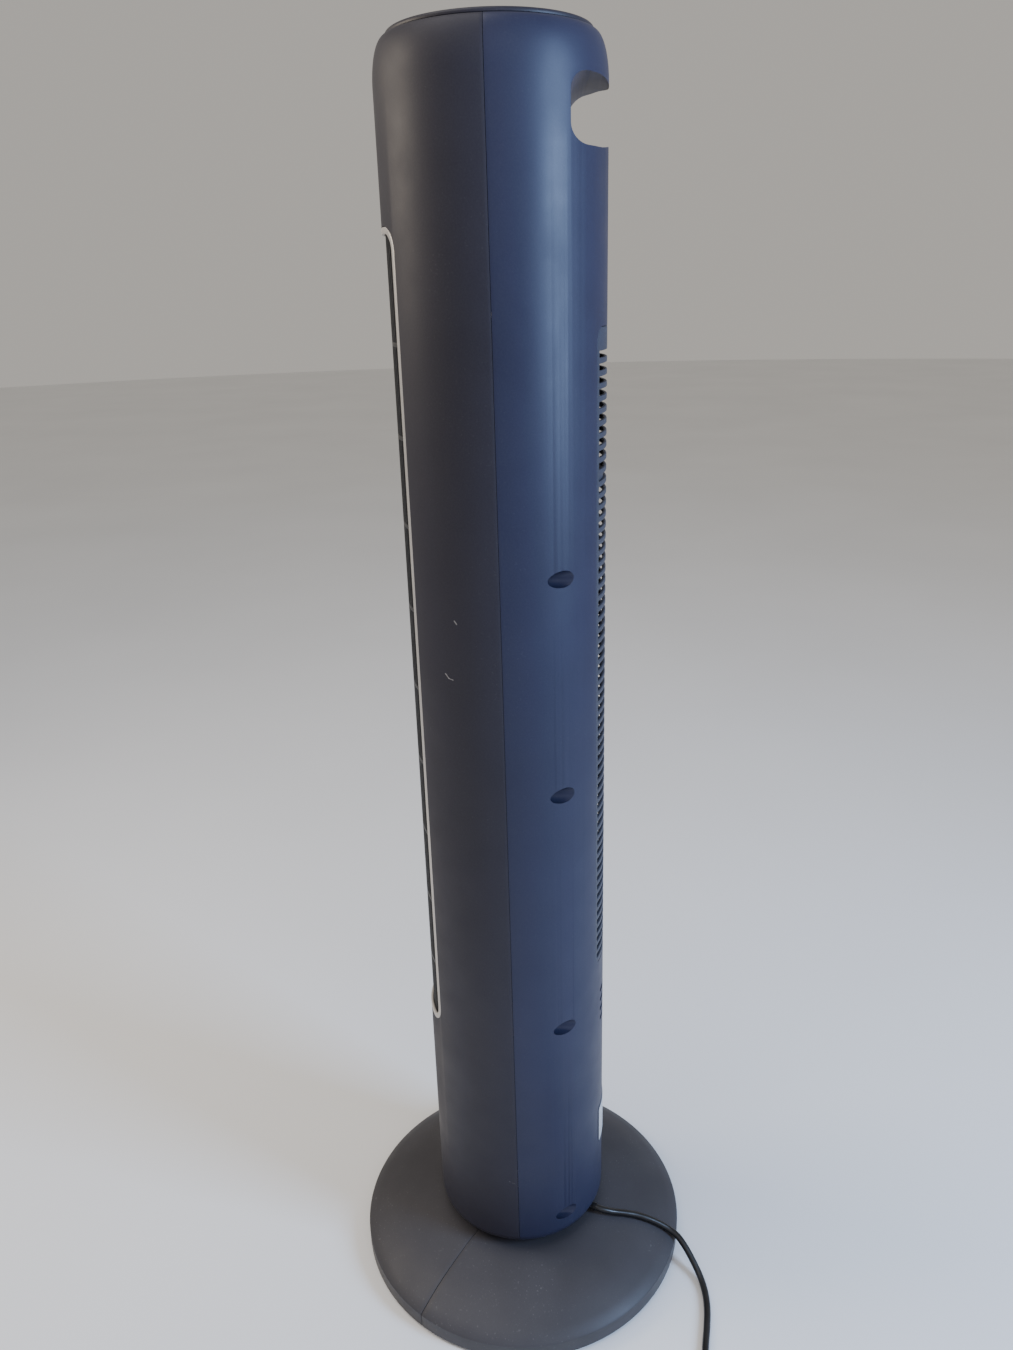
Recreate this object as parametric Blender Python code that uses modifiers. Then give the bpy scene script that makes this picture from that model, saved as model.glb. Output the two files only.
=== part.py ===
"""Oscillating tower fan: base, turning column, cross-flow impeller, push-buttons and mains lead.

Metres, +Z up. The origin is the middle of the base on the floor. The air outlet faces -Y, the
louvred inlet and the handle notch face +Y, and the seam between the front and rear shells lies
in the plane Y = 0. Everything above the base turns about Z on the swivel post.
"""

import math

import bmesh
import bpy
from mathutils import Matrix, Vector

# Fits
TOUCH_GAP = 0.0003          # between pieces that rest on each other
SEAM_GAP = 0.0004           # between moulded covers that meet edge to edge
RUNNING_GAP = 0.0025        # round the swivel post, where the column turns
CORE_INSET = 0.0006         # bosses stop this far inside the outer skin that they join
CUT_PAST = 0.004            # cutters run this far past a wall

# Base
BASE_RADIUS = 0.150
BASE_HUB_TOP = 0.0405       # top of the flat middle of the dome
BASE_FLAT_RADIUS = 0.076
BASE_DOME_RADIUS = 0.120
BASE_DOME_HEIGHT = 0.0308
BASE_RIM_WIDTH = 0.0015
BASE_RIM_SLOPE_RADIUS = BASE_RADIUS - BASE_RIM_WIDTH
BASE_RIM_SLOPE_HEIGHT = 0.0182
BASE_RIM_EDGE_HEIGHT = 0.0162
BASE_WALL = 0.0028
BASE_SEAM_AZIMUTH = math.radians(-35.0)
FOOT_HEIGHT = 0.0030
FOOT_RADIUS = 0.0085
FOOT_SET_IN = 0.020
FOOT_CIRCLE = BASE_RADIUS - FOOT_SET_IN
FEET_PER_HALF = 3
FOOT_BOSS_RADIUS = 0.0100

# Swivel
POST_RADIUS = 0.0340
POST_WALL = 0.0060
POST_TAIL = 0.0145          # below the top of the dome
POST_FLANGE_THICKNESS = 0.0030
POST_FLANGE_WIDTH = 0.0120
POST_FLANGE_RADIUS = POST_RADIUS + POST_FLANGE_WIDTH
NUT_THICKNESS = 0.0080
NUT_WIDTH = 0.0130
NUT_RADIUS = POST_RADIUS + NUT_WIDTH
GLIDE_RING_THICKNESS = 0.0011
TURNTABLE_THICKNESS = 0.0025
RETAINER_THICKNESS = 0.0020
RETAINER_WIDTH = 0.0100
RETAINER_RADIUS = POST_RADIUS + RETAINER_WIDTH
GEAR_THICKNESS = 0.0060
GEAR_MODULE = 0.0020
GEAR_ROOT_DEPTH = 1.15 * GEAR_MODULE
GEAR_WEB = 0.0034           # between the bore and the roots, to the nearest whole tooth
GEAR_TEETH = round(         # on the full circle; only the sector that is used is cut
    2.0 * (POST_RADIUS + TOUCH_GAP + GEAR_WEB + GEAR_ROOT_DEPTH) / GEAR_MODULE
)
GEAR_SECTOR = (-186.0, -64.0)
PINION_TEETH = 10
GEAR_BACKLASH = 0.00040
PRESSURE_ANGLE = math.radians(20.0)
PINION_AZIMUTH = math.radians(-90.0)
PINION_SHAFT_RADIUS = 0.0020

# Column shells
COLUMN_RADIUS = 0.0767
SHELL_WALL = 0.0025
SHELL_BOTTOM = 0.0455
BOTTOM_ROUND_IN = 0.0125
BOTTOM_ROUND_UP = 0.0130
BOTTOM_LIP = 0.0062
SHELL_BOTTOM_HOLE = COLUMN_RADIUS - BOTTOM_ROUND_IN - BOTTOM_LIP
SHELL_TOP = 1.0066
SHOULDER_IN = 0.0085
SHOULDER_DOWN = 0.0280
TOP_LIP = 0.0102
SHELL_TOP_HOLE = COLUMN_RADIUS - SHOULDER_IN - TOP_LIP
TURNTABLE_RADIUS = COLUMN_RADIUS - BOTTOM_ROUND_IN + TOUCH_GAP

# Handle notch, a finger groove right across the rear
NOTCH_DOWN = 0.0276          # from the top of the shells to its roof
NOTCH_HEIGHT = 0.0405
NOTCH_DEPTH = 0.0257
NOTCH_ROOF = SHELL_TOP - NOTCH_DOWN
NOTCH_FLOOR = NOTCH_ROOF - NOTCH_HEIGHT
NOTCH_INNER_Y = COLUMN_RADIUS - NOTCH_DEPTH
NOTCH_CORNER = 0.0115

# Air outlet
OUTLET_BOTTOM = 0.2620
OUTLET_TOP = 0.8970
OUTLET_HALF_WIDTH = 0.0434
OUTLET_CORNER = 0.0170
TRIM_WIDTH = 0.0045
TRIM_PROUD = 0.0002
TRIM_DEPTH = 0.0022
GRILLE_DEPTH = 0.0020
GRILLE_RADIUS = COLUMN_RADIUS + TRIM_PROUD - TRIM_DEPTH - TOUCH_GAP
GRILLE_BORDER = 0.00508     # from the outlet's side to the first opening
GRILLE_MARGIN_ANGLE = math.asin((OUTLET_HALF_WIDTH - GRILLE_BORDER) / GRILLE_RADIUS)
GRILLE_OPENINGS_ACROSS = 8
GRILLE_BAR_SHARE = 0.36     # of the pitch between bars
RIB_COUNT = 9
RIB_UP = 0.0580              # from the outlet's foot to the first rib
RIB_FIRST = OUTLET_BOTTOM + RIB_UP
RIB_PITCH = 0.0628
RIB_HEIGHT = 0.0030

# Rear inlet
INLET_BOTTOM = 0.3180
INLET_TOP = 0.8310
INLET_HALF_WIDTH = 0.0360
INLET_CORNER = 0.0100
LOUVRE_COUNT = 59
LOUVRE_DOWN = 0.0181         # from the inlet's top to the middle of the first slot
LOUVRE_TOP_SLOT = INLET_TOP - LOUVRE_DOWN
LOUVRE_PITCH = 0.0084
LOUVRE_SLOT_HEIGHT = 0.0044
LOUVRE_BORDER = 0.00542
LOUVRE_SLOT_HALF_ANGLE = math.asin((INLET_HALF_WIDTH - LOUVRE_BORDER) / COLUMN_RADIUS)
LOUVRE_SEGMENTS = 3

# Motor vents in the rear shell
VENT_COUNT = 4
VENT_LOWEST = 0.2535
VENT_PITCH = 0.0100
VENT_HEIGHT = 0.0040
VENT_HALF_WIDTH = 0.0220

# Screws that pull the rear shell onto the front one
SCREW_SET_IN = 0.0137
SCREW_X = COLUMN_RADIUS - SCREW_SET_IN
SCREW_HEIGHTS = (0.0730, 0.2784, 0.4952, 0.6647)
WELL_RADIUS = 0.0062
WELL_WALL = 0.0018
WELL_FLOOR_Y = 0.0180
WELL_FLOOR = 0.0020
SCREW_HEAD_RADIUS = 0.0040
SCREW_HEAD_HEIGHT = 0.0026
SCREW_SHANK_RADIUS = 0.0016
SCREW_LENGTH = 0.0160
BOSS_RADIUS = 0.0045
BOSS_ROOT_SKIN = 0.00175     # skin left in front of a boss's root
BOSS_ROOT_Y = BOSS_ROOT_SKIN - math.sqrt(COLUMN_RADIUS ** 2 - SCREW_X ** 2)

# Top cap, control panel and push-buttons
CAP_HEIGHT = 0.0034
CAP_TOP = SHELL_TOP + CAP_HEIGHT
CAP_OVERHANG = -0.0010
CAP_RADIUS = COLUMN_RADIUS - SHOULDER_IN + CAP_OVERHANG
CAP_EDGE = 0.0020
CAP_FLOOR_THICKNESS = 0.0023
CAP_FLOOR_RISE = -0.0026
CAP_FLOOR_BOTTOM = SHELL_TOP + CAP_FLOOR_RISE
CAP_SPIGOT_DEPTH = 0.0106
CAP_SPIGOT_BOTTOM = SHELL_TOP - CAP_SPIGOT_DEPTH
CAP_SPIGOT_WALL = 0.0022
CAP_RIM_WIDTH = 0.0172
PANEL_RADIUS = CAP_RADIUS - CAP_RIM_WIDTH
PANEL_THICKNESS = 0.0027
BUTTON_NAMES = ("timer", "mode", "power", "speed", "swing")
BUTTON_SPACING = 0.0180
BUTTON_ROW_Y = -0.0220
BUTTON_RADIUS = 0.0048
BUTTON_CLEARANCE = 0.0004
BUTTON_SINK = 0.0002
BUTTON_TOP = CAP_TOP - BUTTON_SINK
BUTTON_FLANGE_RADIUS = 0.0064
BUTTON_FLANGE_THICKNESS = 0.0015
BUTTON_STEM_RADIUS = 0.0020
BUTTON_TRAVEL_ROOM = 0.0015  # between a stem and its switch
WINDOW_SIZE = (0.0260, 0.0120)
WINDOW_Y = 0.0100
WINDOW_LEDGE = 0.0020
BOARD_THICKNESS = 0.0016
BOARD_EDGE_ROOM = 0.0015
CONTROL_BOARD_RADIUS = SHELL_TOP_HOLE - TOUCH_GAP - CAP_SPIGOT_WALL - BOARD_EDGE_ROOM
CONTROL_BOARD_DOWN = 0.0186  # from the cap's top to the board's underside
CONTROL_BOARD_BOTTOM = CAP_TOP - CONTROL_BOARD_DOWN
SWITCH_SIZE = 0.0060
SWITCH_HEIGHT = 0.0040
BUTTON_STEM_BOTTOM = (
    CONTROL_BOARD_BOTTOM + BOARD_THICKNESS + SWITCH_HEIGHT + BUTTON_TRAVEL_ROOM
)
PILLAR_RADIUS = 0.0030
PILLAR_SET_IN = 0.0080
PILLAR_CIRCLE = CONTROL_BOARD_RADIUS - PILLAR_SET_IN
PILLAR_AZIMUTHS = (8.0, 97.0, 186.0)

# Air path
DECK_RADIUS = COLUMN_RADIUS - SHELL_WALL - TOUCH_GAP
PLATE_GRILLE_GAP = 0.00045
DECK_FRONT_Y = PLATE_GRILLE_GAP - math.sqrt(    # plates stop here, behind the grille
    (GRILLE_RADIUS - GRILLE_DEPTH) ** 2 - OUTLET_HALF_WIDTH ** 2
)
MOTOR_PLATE_BOTTOM = 0.3120
PLATE_THICKNESS = 0.0025
BRACKET_BOTTOM = 0.8352
IMPELLER_RADIUS = 0.0420
IMPELLER_BOTTOM = 0.3200
IMPELLER_TOP = 0.8300
IMPELLER_DISCS = 3
IMPELLER_DISC_THICKNESS = 0.0025
IMPELLER_BLADES = 10
BLADE_INNER_RADIUS = 0.0325
BLADE_THICKNESS = 0.0013
SHAFT_RADIUS = 0.0040
HUB_RADIUS = 0.0090
GUIDE_THICKNESS = 0.0015
SCROLL_START = 115.0        # degrees, where the scroll is nearest the impeller
SCROLL_END = 225.0
SCROLL_START_RADIUS = 0.0455
SCROLL_END_RADIUS = 0.0535

# Motors and boards low in the column
DECK_UP = 0.0028             # from the top of the post to the deck
DECK_THICKNESS = 0.0020
DECK_HOLE_RADIUS = 0.0300
DECK_PILLAR_RADIUS = 0.0040
DECK_PILLAR_SET_IN = 0.0045
DECK_PILLAR_CIRCLE = TURNTABLE_RADIUS - DECK_PILLAR_SET_IN
DECK_PILLAR_AZIMUTHS = (20.0, 160.0, 225.0, 315.0)
SWING_MOTOR_RADIUS = 0.0180
SWING_MOTOR_HEIGHT = 0.0180
SWING_MOTOR_WALL_ROOM = 0.0059
FAN_MOTOR_RADIUS = 0.0380
FAN_MOTOR_BOTTOM = 0.2450
FAN_MOTOR_BELL_RADIUS = 0.0200
FAN_MOTOR_BELL_HEIGHT = 0.0080
POWER_BOARD_SIZE = (0.0600, 0.0800)
POWER_BOARD_BOTTOM = 0.0950
POWER_BOARD_Y = 0.0332
CAPACITOR_SIZE = (0.0380, 0.0160, 0.0260)
CAPACITOR_BOTTOM = 0.1420

# Rating label
LABEL_HALF_ANGLE = math.radians(19.0)
LABEL_BOTTOM = 0.1180
LABEL_TOP = 0.1550
LABEL_THICKNESS = 0.0004

# Mains lead
CORD_RADIUS = 0.0030
RELIEF_AZIMUTH = math.radians(64.0)
RELIEF_UP = 0.0013           # above the foot of the shells
RELIEF_HEIGHT = SHELL_BOTTOM + RELIEF_UP
RELIEF_POST_ROOM = 0.0055
RELIEF_INNER = POST_FLANGE_RADIUS + RELIEF_POST_ROOM
RELIEF_PROUD = 0.0026
RELIEF_OUTER = COLUMN_RADIUS + RELIEF_PROUD
RELIEF_INNER_RADIUS = 0.0044
RELIEF_OUTER_RADIUS = 0.0035
RELIEF_CLEARANCE = 0.0004
CORD_ROUTE = (
    (0.0353, 0.0724, 0.0466),
    (0.0363, 0.0790, 0.0450),
    (0.0353, 0.0880, 0.0418),
    (0.0341, 0.0981, 0.0392),
    (0.0335, 0.1082, 0.0364),
    (0.0342, 0.1183, 0.0333),
    (0.0355, 0.1285, 0.0292),
    (0.0380, 0.1383, 0.0247),
    (0.0432, 0.1467, 0.0212),
    (0.0515, 0.1533, 0.0166),
    (0.0604, 0.1589, 0.0110),
    (0.0691, 0.1633, 0.0062),
    (0.0784, 0.1659, 0.0038),
    (0.0900, 0.1670, 0.0032),
    (0.1040, 0.1662, 0.0032),
    (0.1200, 0.1635, 0.0032),
    (0.1370, 0.1600, 0.0032),
    (0.1540, 0.1572, 0.0032),
    (0.1700, 0.1543, 0.0032),
    (0.1832, 0.1520, 0.0032),
)
CORD_POINTS = 46            # read along the route's smooth curve
COIL_CENTRE = (0.2110, 0.1890)
COIL_MEAN_RADIUS = 0.0340
COIL_BUNDLE_WIDTH = 0.0180
COIL_HEIGHT = 0.0176
PLUG_SIZE = (0.0340, 0.0240, 0.0180)
PLUG_BLADE = (0.0160, 0.0015, 0.0063)
PLUG_BLADE_SPACING = 0.0127
PLUG_AZIMUTH = math.radians(100.0)

# Facets
ROUND_STEPS = 40            # column shells
BASE_STEPS = 40
PLATE_STEPS = 24
SMALL_STEPS = 10
FACET_TWIST = math.radians(4.0)     # keeps a cylinder's corners off its neighbours' edges


# ---------------------------------------------------------------- scene and materials

for old in list(bpy.data.objects):
    bpy.data.objects.remove(old, do_unlink=True)

parts = bpy.data.collections.new("tower_fan")
cutters = bpy.data.collections.new("cutters")
for collection in (parts, cutters):
    bpy.context.scene.collection.children.link(collection)
cutters.hide_render = True


def material(name, colour, roughness, metallic=0.0):
    """A Principled BSDF finish."""
    made = bpy.data.materials.new(name)
    made.use_nodes = True
    shader = made.node_tree.nodes["Principled BSDF"]
    shader.inputs["Base Color"].default_value = (*colour, 1.0)
    shader.inputs["Roughness"].default_value = roughness
    shader.inputs["Metallic"].default_value = metallic
    return made


SHELL_FRONT_FINISH = material("shell_front_plastic", (0.030, 0.031, 0.038), 0.52)
SHELL_REAR_FINISH = material("shell_rear_plastic", (0.030, 0.036, 0.062), 0.50)
BASE_FINISH = material("base_plastic", (0.060, 0.060, 0.068), 0.55)
TRIM_FINISH = material("trim_satin", (0.300, 0.280, 0.270), 0.40)
GRILLE_FINISH = material("grille_plastic", (0.020, 0.020, 0.022), 0.55)
LOUVRE_FINISH = material("louvre_plastic", (0.050, 0.054, 0.082), 0.50)
PANEL_FINISH = material("panel_gloss", (0.008, 0.008, 0.009), 0.12)
BUTTON_FINISH = material("button_plastic", (0.045, 0.045, 0.050), 0.40)
WINDOW_FINISH = material("window_clear", (0.020, 0.010, 0.010), 0.08)
RUBBER_FINISH = material("black_rubber", (0.012, 0.012, 0.012), 0.80)
CORD_FINISH = material("cord_pvc", (0.010, 0.010, 0.011), 0.35)
STEEL_FINISH = material("zinc_steel", (0.520, 0.520, 0.530), 0.35, 1.0)
MOTOR_FINISH = material("motor_steel", (0.330, 0.330, 0.340), 0.45, 1.0)
BRASS_FINISH = material("blade_brass", (0.700, 0.520, 0.220), 0.30, 1.0)
WHEEL_FINISH = material("impeller_plastic", (0.016, 0.016, 0.018), 0.50)
ACETAL_FINISH = material("acetal", (0.780, 0.770, 0.740), 0.40)
BOARD_FINISH = material("board_laminate", (0.080, 0.160, 0.070), 0.50)
CAPACITOR_FINISH = material("capacitor_case", (0.100, 0.100, 0.110), 0.45)
LABEL_FINISH = material("label_film", (0.560, 0.560, 0.570), 0.35)
GUIDE_FINISH = material("air_guide_plastic", (0.022, 0.022, 0.024), 0.55)


# ---------------------------------------------------------------- modelling helpers

def add_object(name, data, finish=None):
    """A part when it has a finish, otherwise a cutter or a helper solid."""
    made = bpy.data.objects.new(name, data)
    if finish is None:
        cutters.objects.link(made)
        made.hide_render = True
        made.display_type = "WIRE"
        return made
    parts.objects.link(made)
    data.materials.clear()
    data.materials.append(finish)
    return made


def smooth(mesh, angle=35.0):
    """Shades a round piece smooth, with its real edges kept sharp."""
    mesh.shade_smooth()
    mesh.set_sharp_from_angle(angle=math.radians(angle))


def turned(name, profile, steps, finish=None, centre=(0.0, 0.0, 0.0)):
    """A profile of (radius, height), down its outer side, turned about Z; on the axis it closes."""
    shape = bmesh.new()
    points = [shape.verts.new((radius, 0.0, height)) for radius, height in profile]
    closing = [] if profile[0][0] == 0.0 else [(points[-1], points[0])]
    for start, end in list(zip(points, points[1:])) + closing:
        shape.edges.new((start, end))
    mesh = bpy.data.meshes.new(name)
    shape.to_mesh(mesh)
    shape.free()
    made = add_object(name, mesh, finish)
    made.location = centre
    screw = made.modifiers.new("turn", "SCREW")
    screw.axis = "Z"
    screw.angle = 2.0 * math.pi
    screw.steps = steps
    screw.render_steps = steps
    screw.use_merge_vertices = True
    screw.merge_threshold = 0.00001
    screw.use_smooth_shade = True
    return made


def ring_profile(inner, outer, bottom, top):
    """The four corners of a plain ring, down its outer side."""
    return ((inner, top), (outer, top), (outer, bottom), (inner, bottom))


def cylinders(name, items, finish=None, steps=SMALL_STEPS):
    """Solid cylinders, each (start, end, radius at start, radius at end), in one mesh."""
    shape = bmesh.new()
    for start, end, first, last in items:
        start, end = Vector(start), Vector(end)
        along = end - start
        turn = along.to_track_quat("Z", "Y").to_matrix().to_4x4()
        turn = turn @ Matrix.Rotation(FACET_TWIST, 4, "Z")
        place = Matrix.Translation((start + end) / 2.0) @ turn
        bmesh.ops.create_cone(
            shape, cap_ends=True, segments=steps, radius1=first, radius2=last,
            depth=along.length, matrix=place,
        )
    mesh = bpy.data.meshes.new(name)
    shape.to_mesh(mesh)
    shape.free()
    smooth(mesh)
    return add_object(name, mesh, finish)


def boxes(name, items, finish=None):
    """Solid boxes, each (lowest corner, highest corner), in one mesh."""
    shape = bmesh.new()
    for low, high in items:
        low, high = Vector(low), Vector(high)
        place = Matrix.Translation((low + high) / 2.0) @ Matrix.Diagonal((*(high - low), 1.0))
        bmesh.ops.create_cube(shape, size=1.0, matrix=place)
    mesh = bpy.data.meshes.new(name)
    shape.to_mesh(mesh)
    shape.free()
    return add_object(name, mesh, finish)


def prism(name, outlines, depth, place, finish=None):
    """Flat outlines (the first is the outside, the others are holes) made a plate of this depth."""
    curve = bpy.data.curves.new(name, "CURVE")
    curve.dimensions = "2D"
    curve.fill_mode = "BOTH"
    curve.extrude = depth / 2.0
    for outline in outlines:
        spline = curve.splines.new("POLY")
        spline.points.add(len(outline) - 1)
        spline.use_cyclic_u = True
        for point, (x, y) in zip(spline.points, outline):
            point.co = (x, y, 0.0, 1.0)
    drawn = bpy.data.objects.new(name + "_outline", curve)
    drawn.matrix_world = place
    cutters.objects.link(drawn)
    bpy.context.view_layer.update()
    graph = bpy.context.evaluated_depsgraph_get()
    mesh = bpy.data.meshes.new_from_object(drawn.evaluated_get(graph))
    bpy.data.objects.remove(drawn, do_unlink=True)
    bpy.data.curves.remove(curve)
    mesh.name = name
    shape = bmesh.new()
    shape.from_mesh(mesh)
    bmesh.ops.remove_doubles(shape, verts=shape.verts, dist=0.00001)
    bmesh.ops.transform(shape, matrix=place, verts=shape.verts)
    bmesh.ops.recalc_face_normals(shape, faces=shape.faces)
    shape.to_mesh(mesh)
    shape.free()
    return add_object(name, mesh, finish)


def joined(name, pieces, finish=None):
    """Separate helper solids put into one mesh; the helpers are removed."""
    shape = bmesh.new()
    for piece in pieces:
        shape.from_mesh(piece.data)
        bpy.data.objects.remove(piece, do_unlink=True)
    mesh = bpy.data.meshes.new(name)
    shape.to_mesh(mesh)
    shape.free()
    return add_object(name, mesh, finish)


def boolean(target, other, operation):
    """Adds an exact Boolean to the target."""
    step = target.modifiers.new(other.name, "BOOLEAN")
    step.operation = operation
    step.solver = "EXACT"
    step.object = other
    return target


def rounded_rectangle(half_width, low, high, radius, steps=5):
    """The outline of an upright rectangle with round corners, centred on x = 0."""
    corners = (
        (half_width - radius, high - radius, 0.0),
        (-half_width + radius, high - radius, 90.0),
        (-half_width + radius, low + radius, 180.0),
        (half_width - radius, low + radius, 270.0),
    )
    outline = []
    for x, z, start in corners:
        for step in range(steps + 1):
            angle = math.radians(start + 90.0 * step / steps)
            outline.append((x + radius * math.cos(angle), z + radius * math.sin(angle)))
    return outline


def facing_y(distance):
    """Places a drawing (x, z) in a plane square to Y at this distance."""
    return Matrix.Translation((0.0, distance, 0.0)) @ Matrix.Rotation(math.pi / 2.0, 4, "X")


def curved_sheet(name, radius, azimuth, angles, heights, is_open, thickness, finish):
    """A sheet on a cylinder about Z, left open where is_open(column, row), then given thickness."""
    shape = bmesh.new()
    bmesh.ops.create_grid(
        shape, x_segments=len(angles) - 1, y_segments=len(heights) - 1, size=1.0,
    )
    columns, rows = len(angles) - 1, len(heights) - 1
    doomed = []
    for face in shape.faces:
        middle = face.calc_center_median()
        column = int((middle.x + 1.0) / 2.0 * columns)
        row = int((middle.y + 1.0) / 2.0 * rows)
        if is_open(column, row):
            doomed.append(face)
    for point in shape.verts:
        angle = azimuth + angles[round((point.co.x + 1.0) / 2.0 * columns)]
        height = heights[round((point.co.y + 1.0) / 2.0 * rows)]
        point.co = (radius * math.cos(angle), radius * math.sin(angle), height)
    bmesh.ops.delete(shape, geom=doomed, context="FACES")
    bmesh.ops.recalc_face_normals(shape, faces=shape.faces)
    if sum(face.normal.dot(face.calc_center_median().xy.to_3d()) for face in shape.faces) < 0.0:
        bmesh.ops.reverse_faces(shape, faces=shape.faces)
    mesh = bpy.data.meshes.new(name)
    shape.to_mesh(mesh)
    shape.free()
    made = add_object(name, mesh, finish)
    thicken = made.modifiers.new("thickness", "SOLIDIFY")
    thicken.thickness = thickness
    thicken.offset = -1.0
    return made


def quarter_ellipse(centre, half_width, half_height, first, last, steps):
    """Points on an ellipse between two angles in degrees, both ends included."""
    points = []
    for step in range(steps + 1):
        angle = math.radians(first + (last - first) * step / steps)
        points.append((
            centre[0] + half_width * math.cos(angle),
            centre[1] + half_height * math.sin(angle),
        ))
    return points


def polar(radius, azimuth, height=0.0):
    """A point at a radius and an azimuth in radians."""
    return Vector((radius * math.cos(azimuth), radius * math.sin(azimuth), height))


# ---------------------------------------------------------------- stacked heights of the swivel

post_bottom = BASE_HUB_TOP - POST_TAIL
post_flange_bottom = BASE_HUB_TOP + TOUCH_GAP
post_flange_top = post_flange_bottom + POST_FLANGE_THICKNESS
glide_bottom = post_flange_top + TOUCH_GAP
glide_top = glide_bottom + GLIDE_RING_THICKNESS
turntable_bottom = glide_top + TOUCH_GAP
turntable_plate_bottom = SHELL_BOTTOM + SHELL_WALL + TOUCH_GAP
turntable_top = turntable_plate_bottom + TURNTABLE_THICKNESS
retainer_bottom = turntable_top + TOUCH_GAP
retainer_top = retainer_bottom + RETAINER_THICKNESS
gear_bottom = retainer_top + TOUCH_GAP
gear_top = gear_bottom + GEAR_THICKNESS
post_top = gear_top + TOUCH_GAP
deck_bottom = post_top + DECK_UP
deck_top = deck_bottom + DECK_THICKNESS
post_bore = POST_RADIUS + TOUCH_GAP
turning_bore = POST_RADIUS + RUNNING_GAP
gear_pitch_radius = GEAR_MODULE * GEAR_TEETH / 2.0
pinion_pitch_radius = GEAR_MODULE * PINION_TEETH / 2.0
pinion_distance = gear_pitch_radius + pinion_pitch_radius
pinion_axis = polar(pinion_distance, PINION_AZIMUTH)
# the motor's can is centred on its shaft, or further in where the column's wall is near
swing_motor_axis = polar(
    min(pinion_distance, DECK_RADIUS - SWING_MOTOR_WALL_ROOM - SWING_MOTOR_RADIUS),
    PINION_AZIMUTH,
)


# ---------------------------------------------------------------- base

def base_profile(inset):
    """The dome's outer line from the middle to the rim's foot, moved in by this much."""
    crown = [
        (BASE_FLAT_RADIUS, BASE_HUB_TOP - inset),
        (BASE_FLAT_RADIUS + 0.0140, BASE_HUB_TOP - 0.0021 - inset),
        (BASE_DOME_RADIUS, BASE_DOME_HEIGHT - inset),
    ]
    rim = [
        (BASE_RIM_SLOPE_RADIUS - inset, BASE_RIM_SLOPE_HEIGHT - inset),
        (BASE_RADIUS - inset, BASE_RIM_EDGE_HEIGHT - inset),
    ]
    return crown + rim + [(BASE_RADIUS - inset, FOOT_HEIGHT)]


def make_base():
    """Two half domes with foot bosses, the nut that clamps them, and the feet."""
    outer = base_profile(0.0)
    inner = base_profile(BASE_WALL)
    profile = [(POST_RADIUS + 2.0 * TOUCH_GAP, BASE_HUB_TOP)] + outer
    profile += list(reversed(inner))
    profile += [(POST_RADIUS + 2.0 * TOUCH_GAP, BASE_HUB_TOP - BASE_WALL)]
    core_line = base_profile(CORE_INSET)
    core = turned(
        "base_core", [(POST_RADIUS, BASE_HUB_TOP - CORE_INSET)] + core_line
        + [(POST_RADIUS, FOOT_HEIGHT)], BASE_STEPS,
    )
    reach = BASE_RADIUS + CUT_PAST
    for side, name in ((1.0, "base_shell_right"), (-1.0, "base_shell_left")):
        half = turned(name, profile, BASE_STEPS, BASE_FINISH)
        azimuths = [
            BASE_SEAM_AZIMUTH + side * math.pi * (step + 0.5) / FEET_PER_HALF
            for step in range(FEET_PER_HALF)
        ]
        keep = boxes(name + "_half", [
            ((-reach, SEAM_GAP / 2.0, -CUT_PAST), (reach, reach, BASE_HUB_TOP + CUT_PAST)),
        ])
        keep.rotation_euler = (0.0, 0.0, BASE_SEAM_AZIMUTH + (0.0 if side > 0 else math.pi))
        bosses = cylinders(name + "_bosses", [
            (polar(FOOT_CIRCLE, azimuth, FOOT_HEIGHT + TOUCH_GAP),
             polar(FOOT_CIRCLE, azimuth, BASE_HUB_TOP),
             FOOT_BOSS_RADIUS, FOOT_BOSS_RADIUS)
            for azimuth in azimuths
        ])
        boolean(bosses, core, "INTERSECT")
        boolean(half, keep, "INTERSECT")
        boolean(half, bosses, "UNION")
        for number, azimuth in enumerate(azimuths):
            foot_name = "foot_%d" % (number + 1 + (0 if side > 0 else FEET_PER_HALF))
            centre = polar(FOOT_CIRCLE, azimuth)
            cylinders(foot_name, [
                (centre, centre + Vector((0.0, 0.0, FOOT_HEIGHT)), FOOT_RADIUS, FOOT_RADIUS),
            ], RUBBER_FINISH, 16)
    under = BASE_HUB_TOP - BASE_WALL - TOUCH_GAP
    turned("base_nut", ring_profile(post_bore, NUT_RADIUS, under - NUT_THICKNESS, under),
           PLATE_STEPS, ACETAL_FINISH)


# ---------------------------------------------------------------- swivel

def involute_half_angle(radius, base_radius):
    """How far an involute has turned at this radius."""
    if radius <= base_radius:
        return 0.0
    alpha = math.acos(base_radius / radius)
    return math.tan(alpha) - alpha


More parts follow.
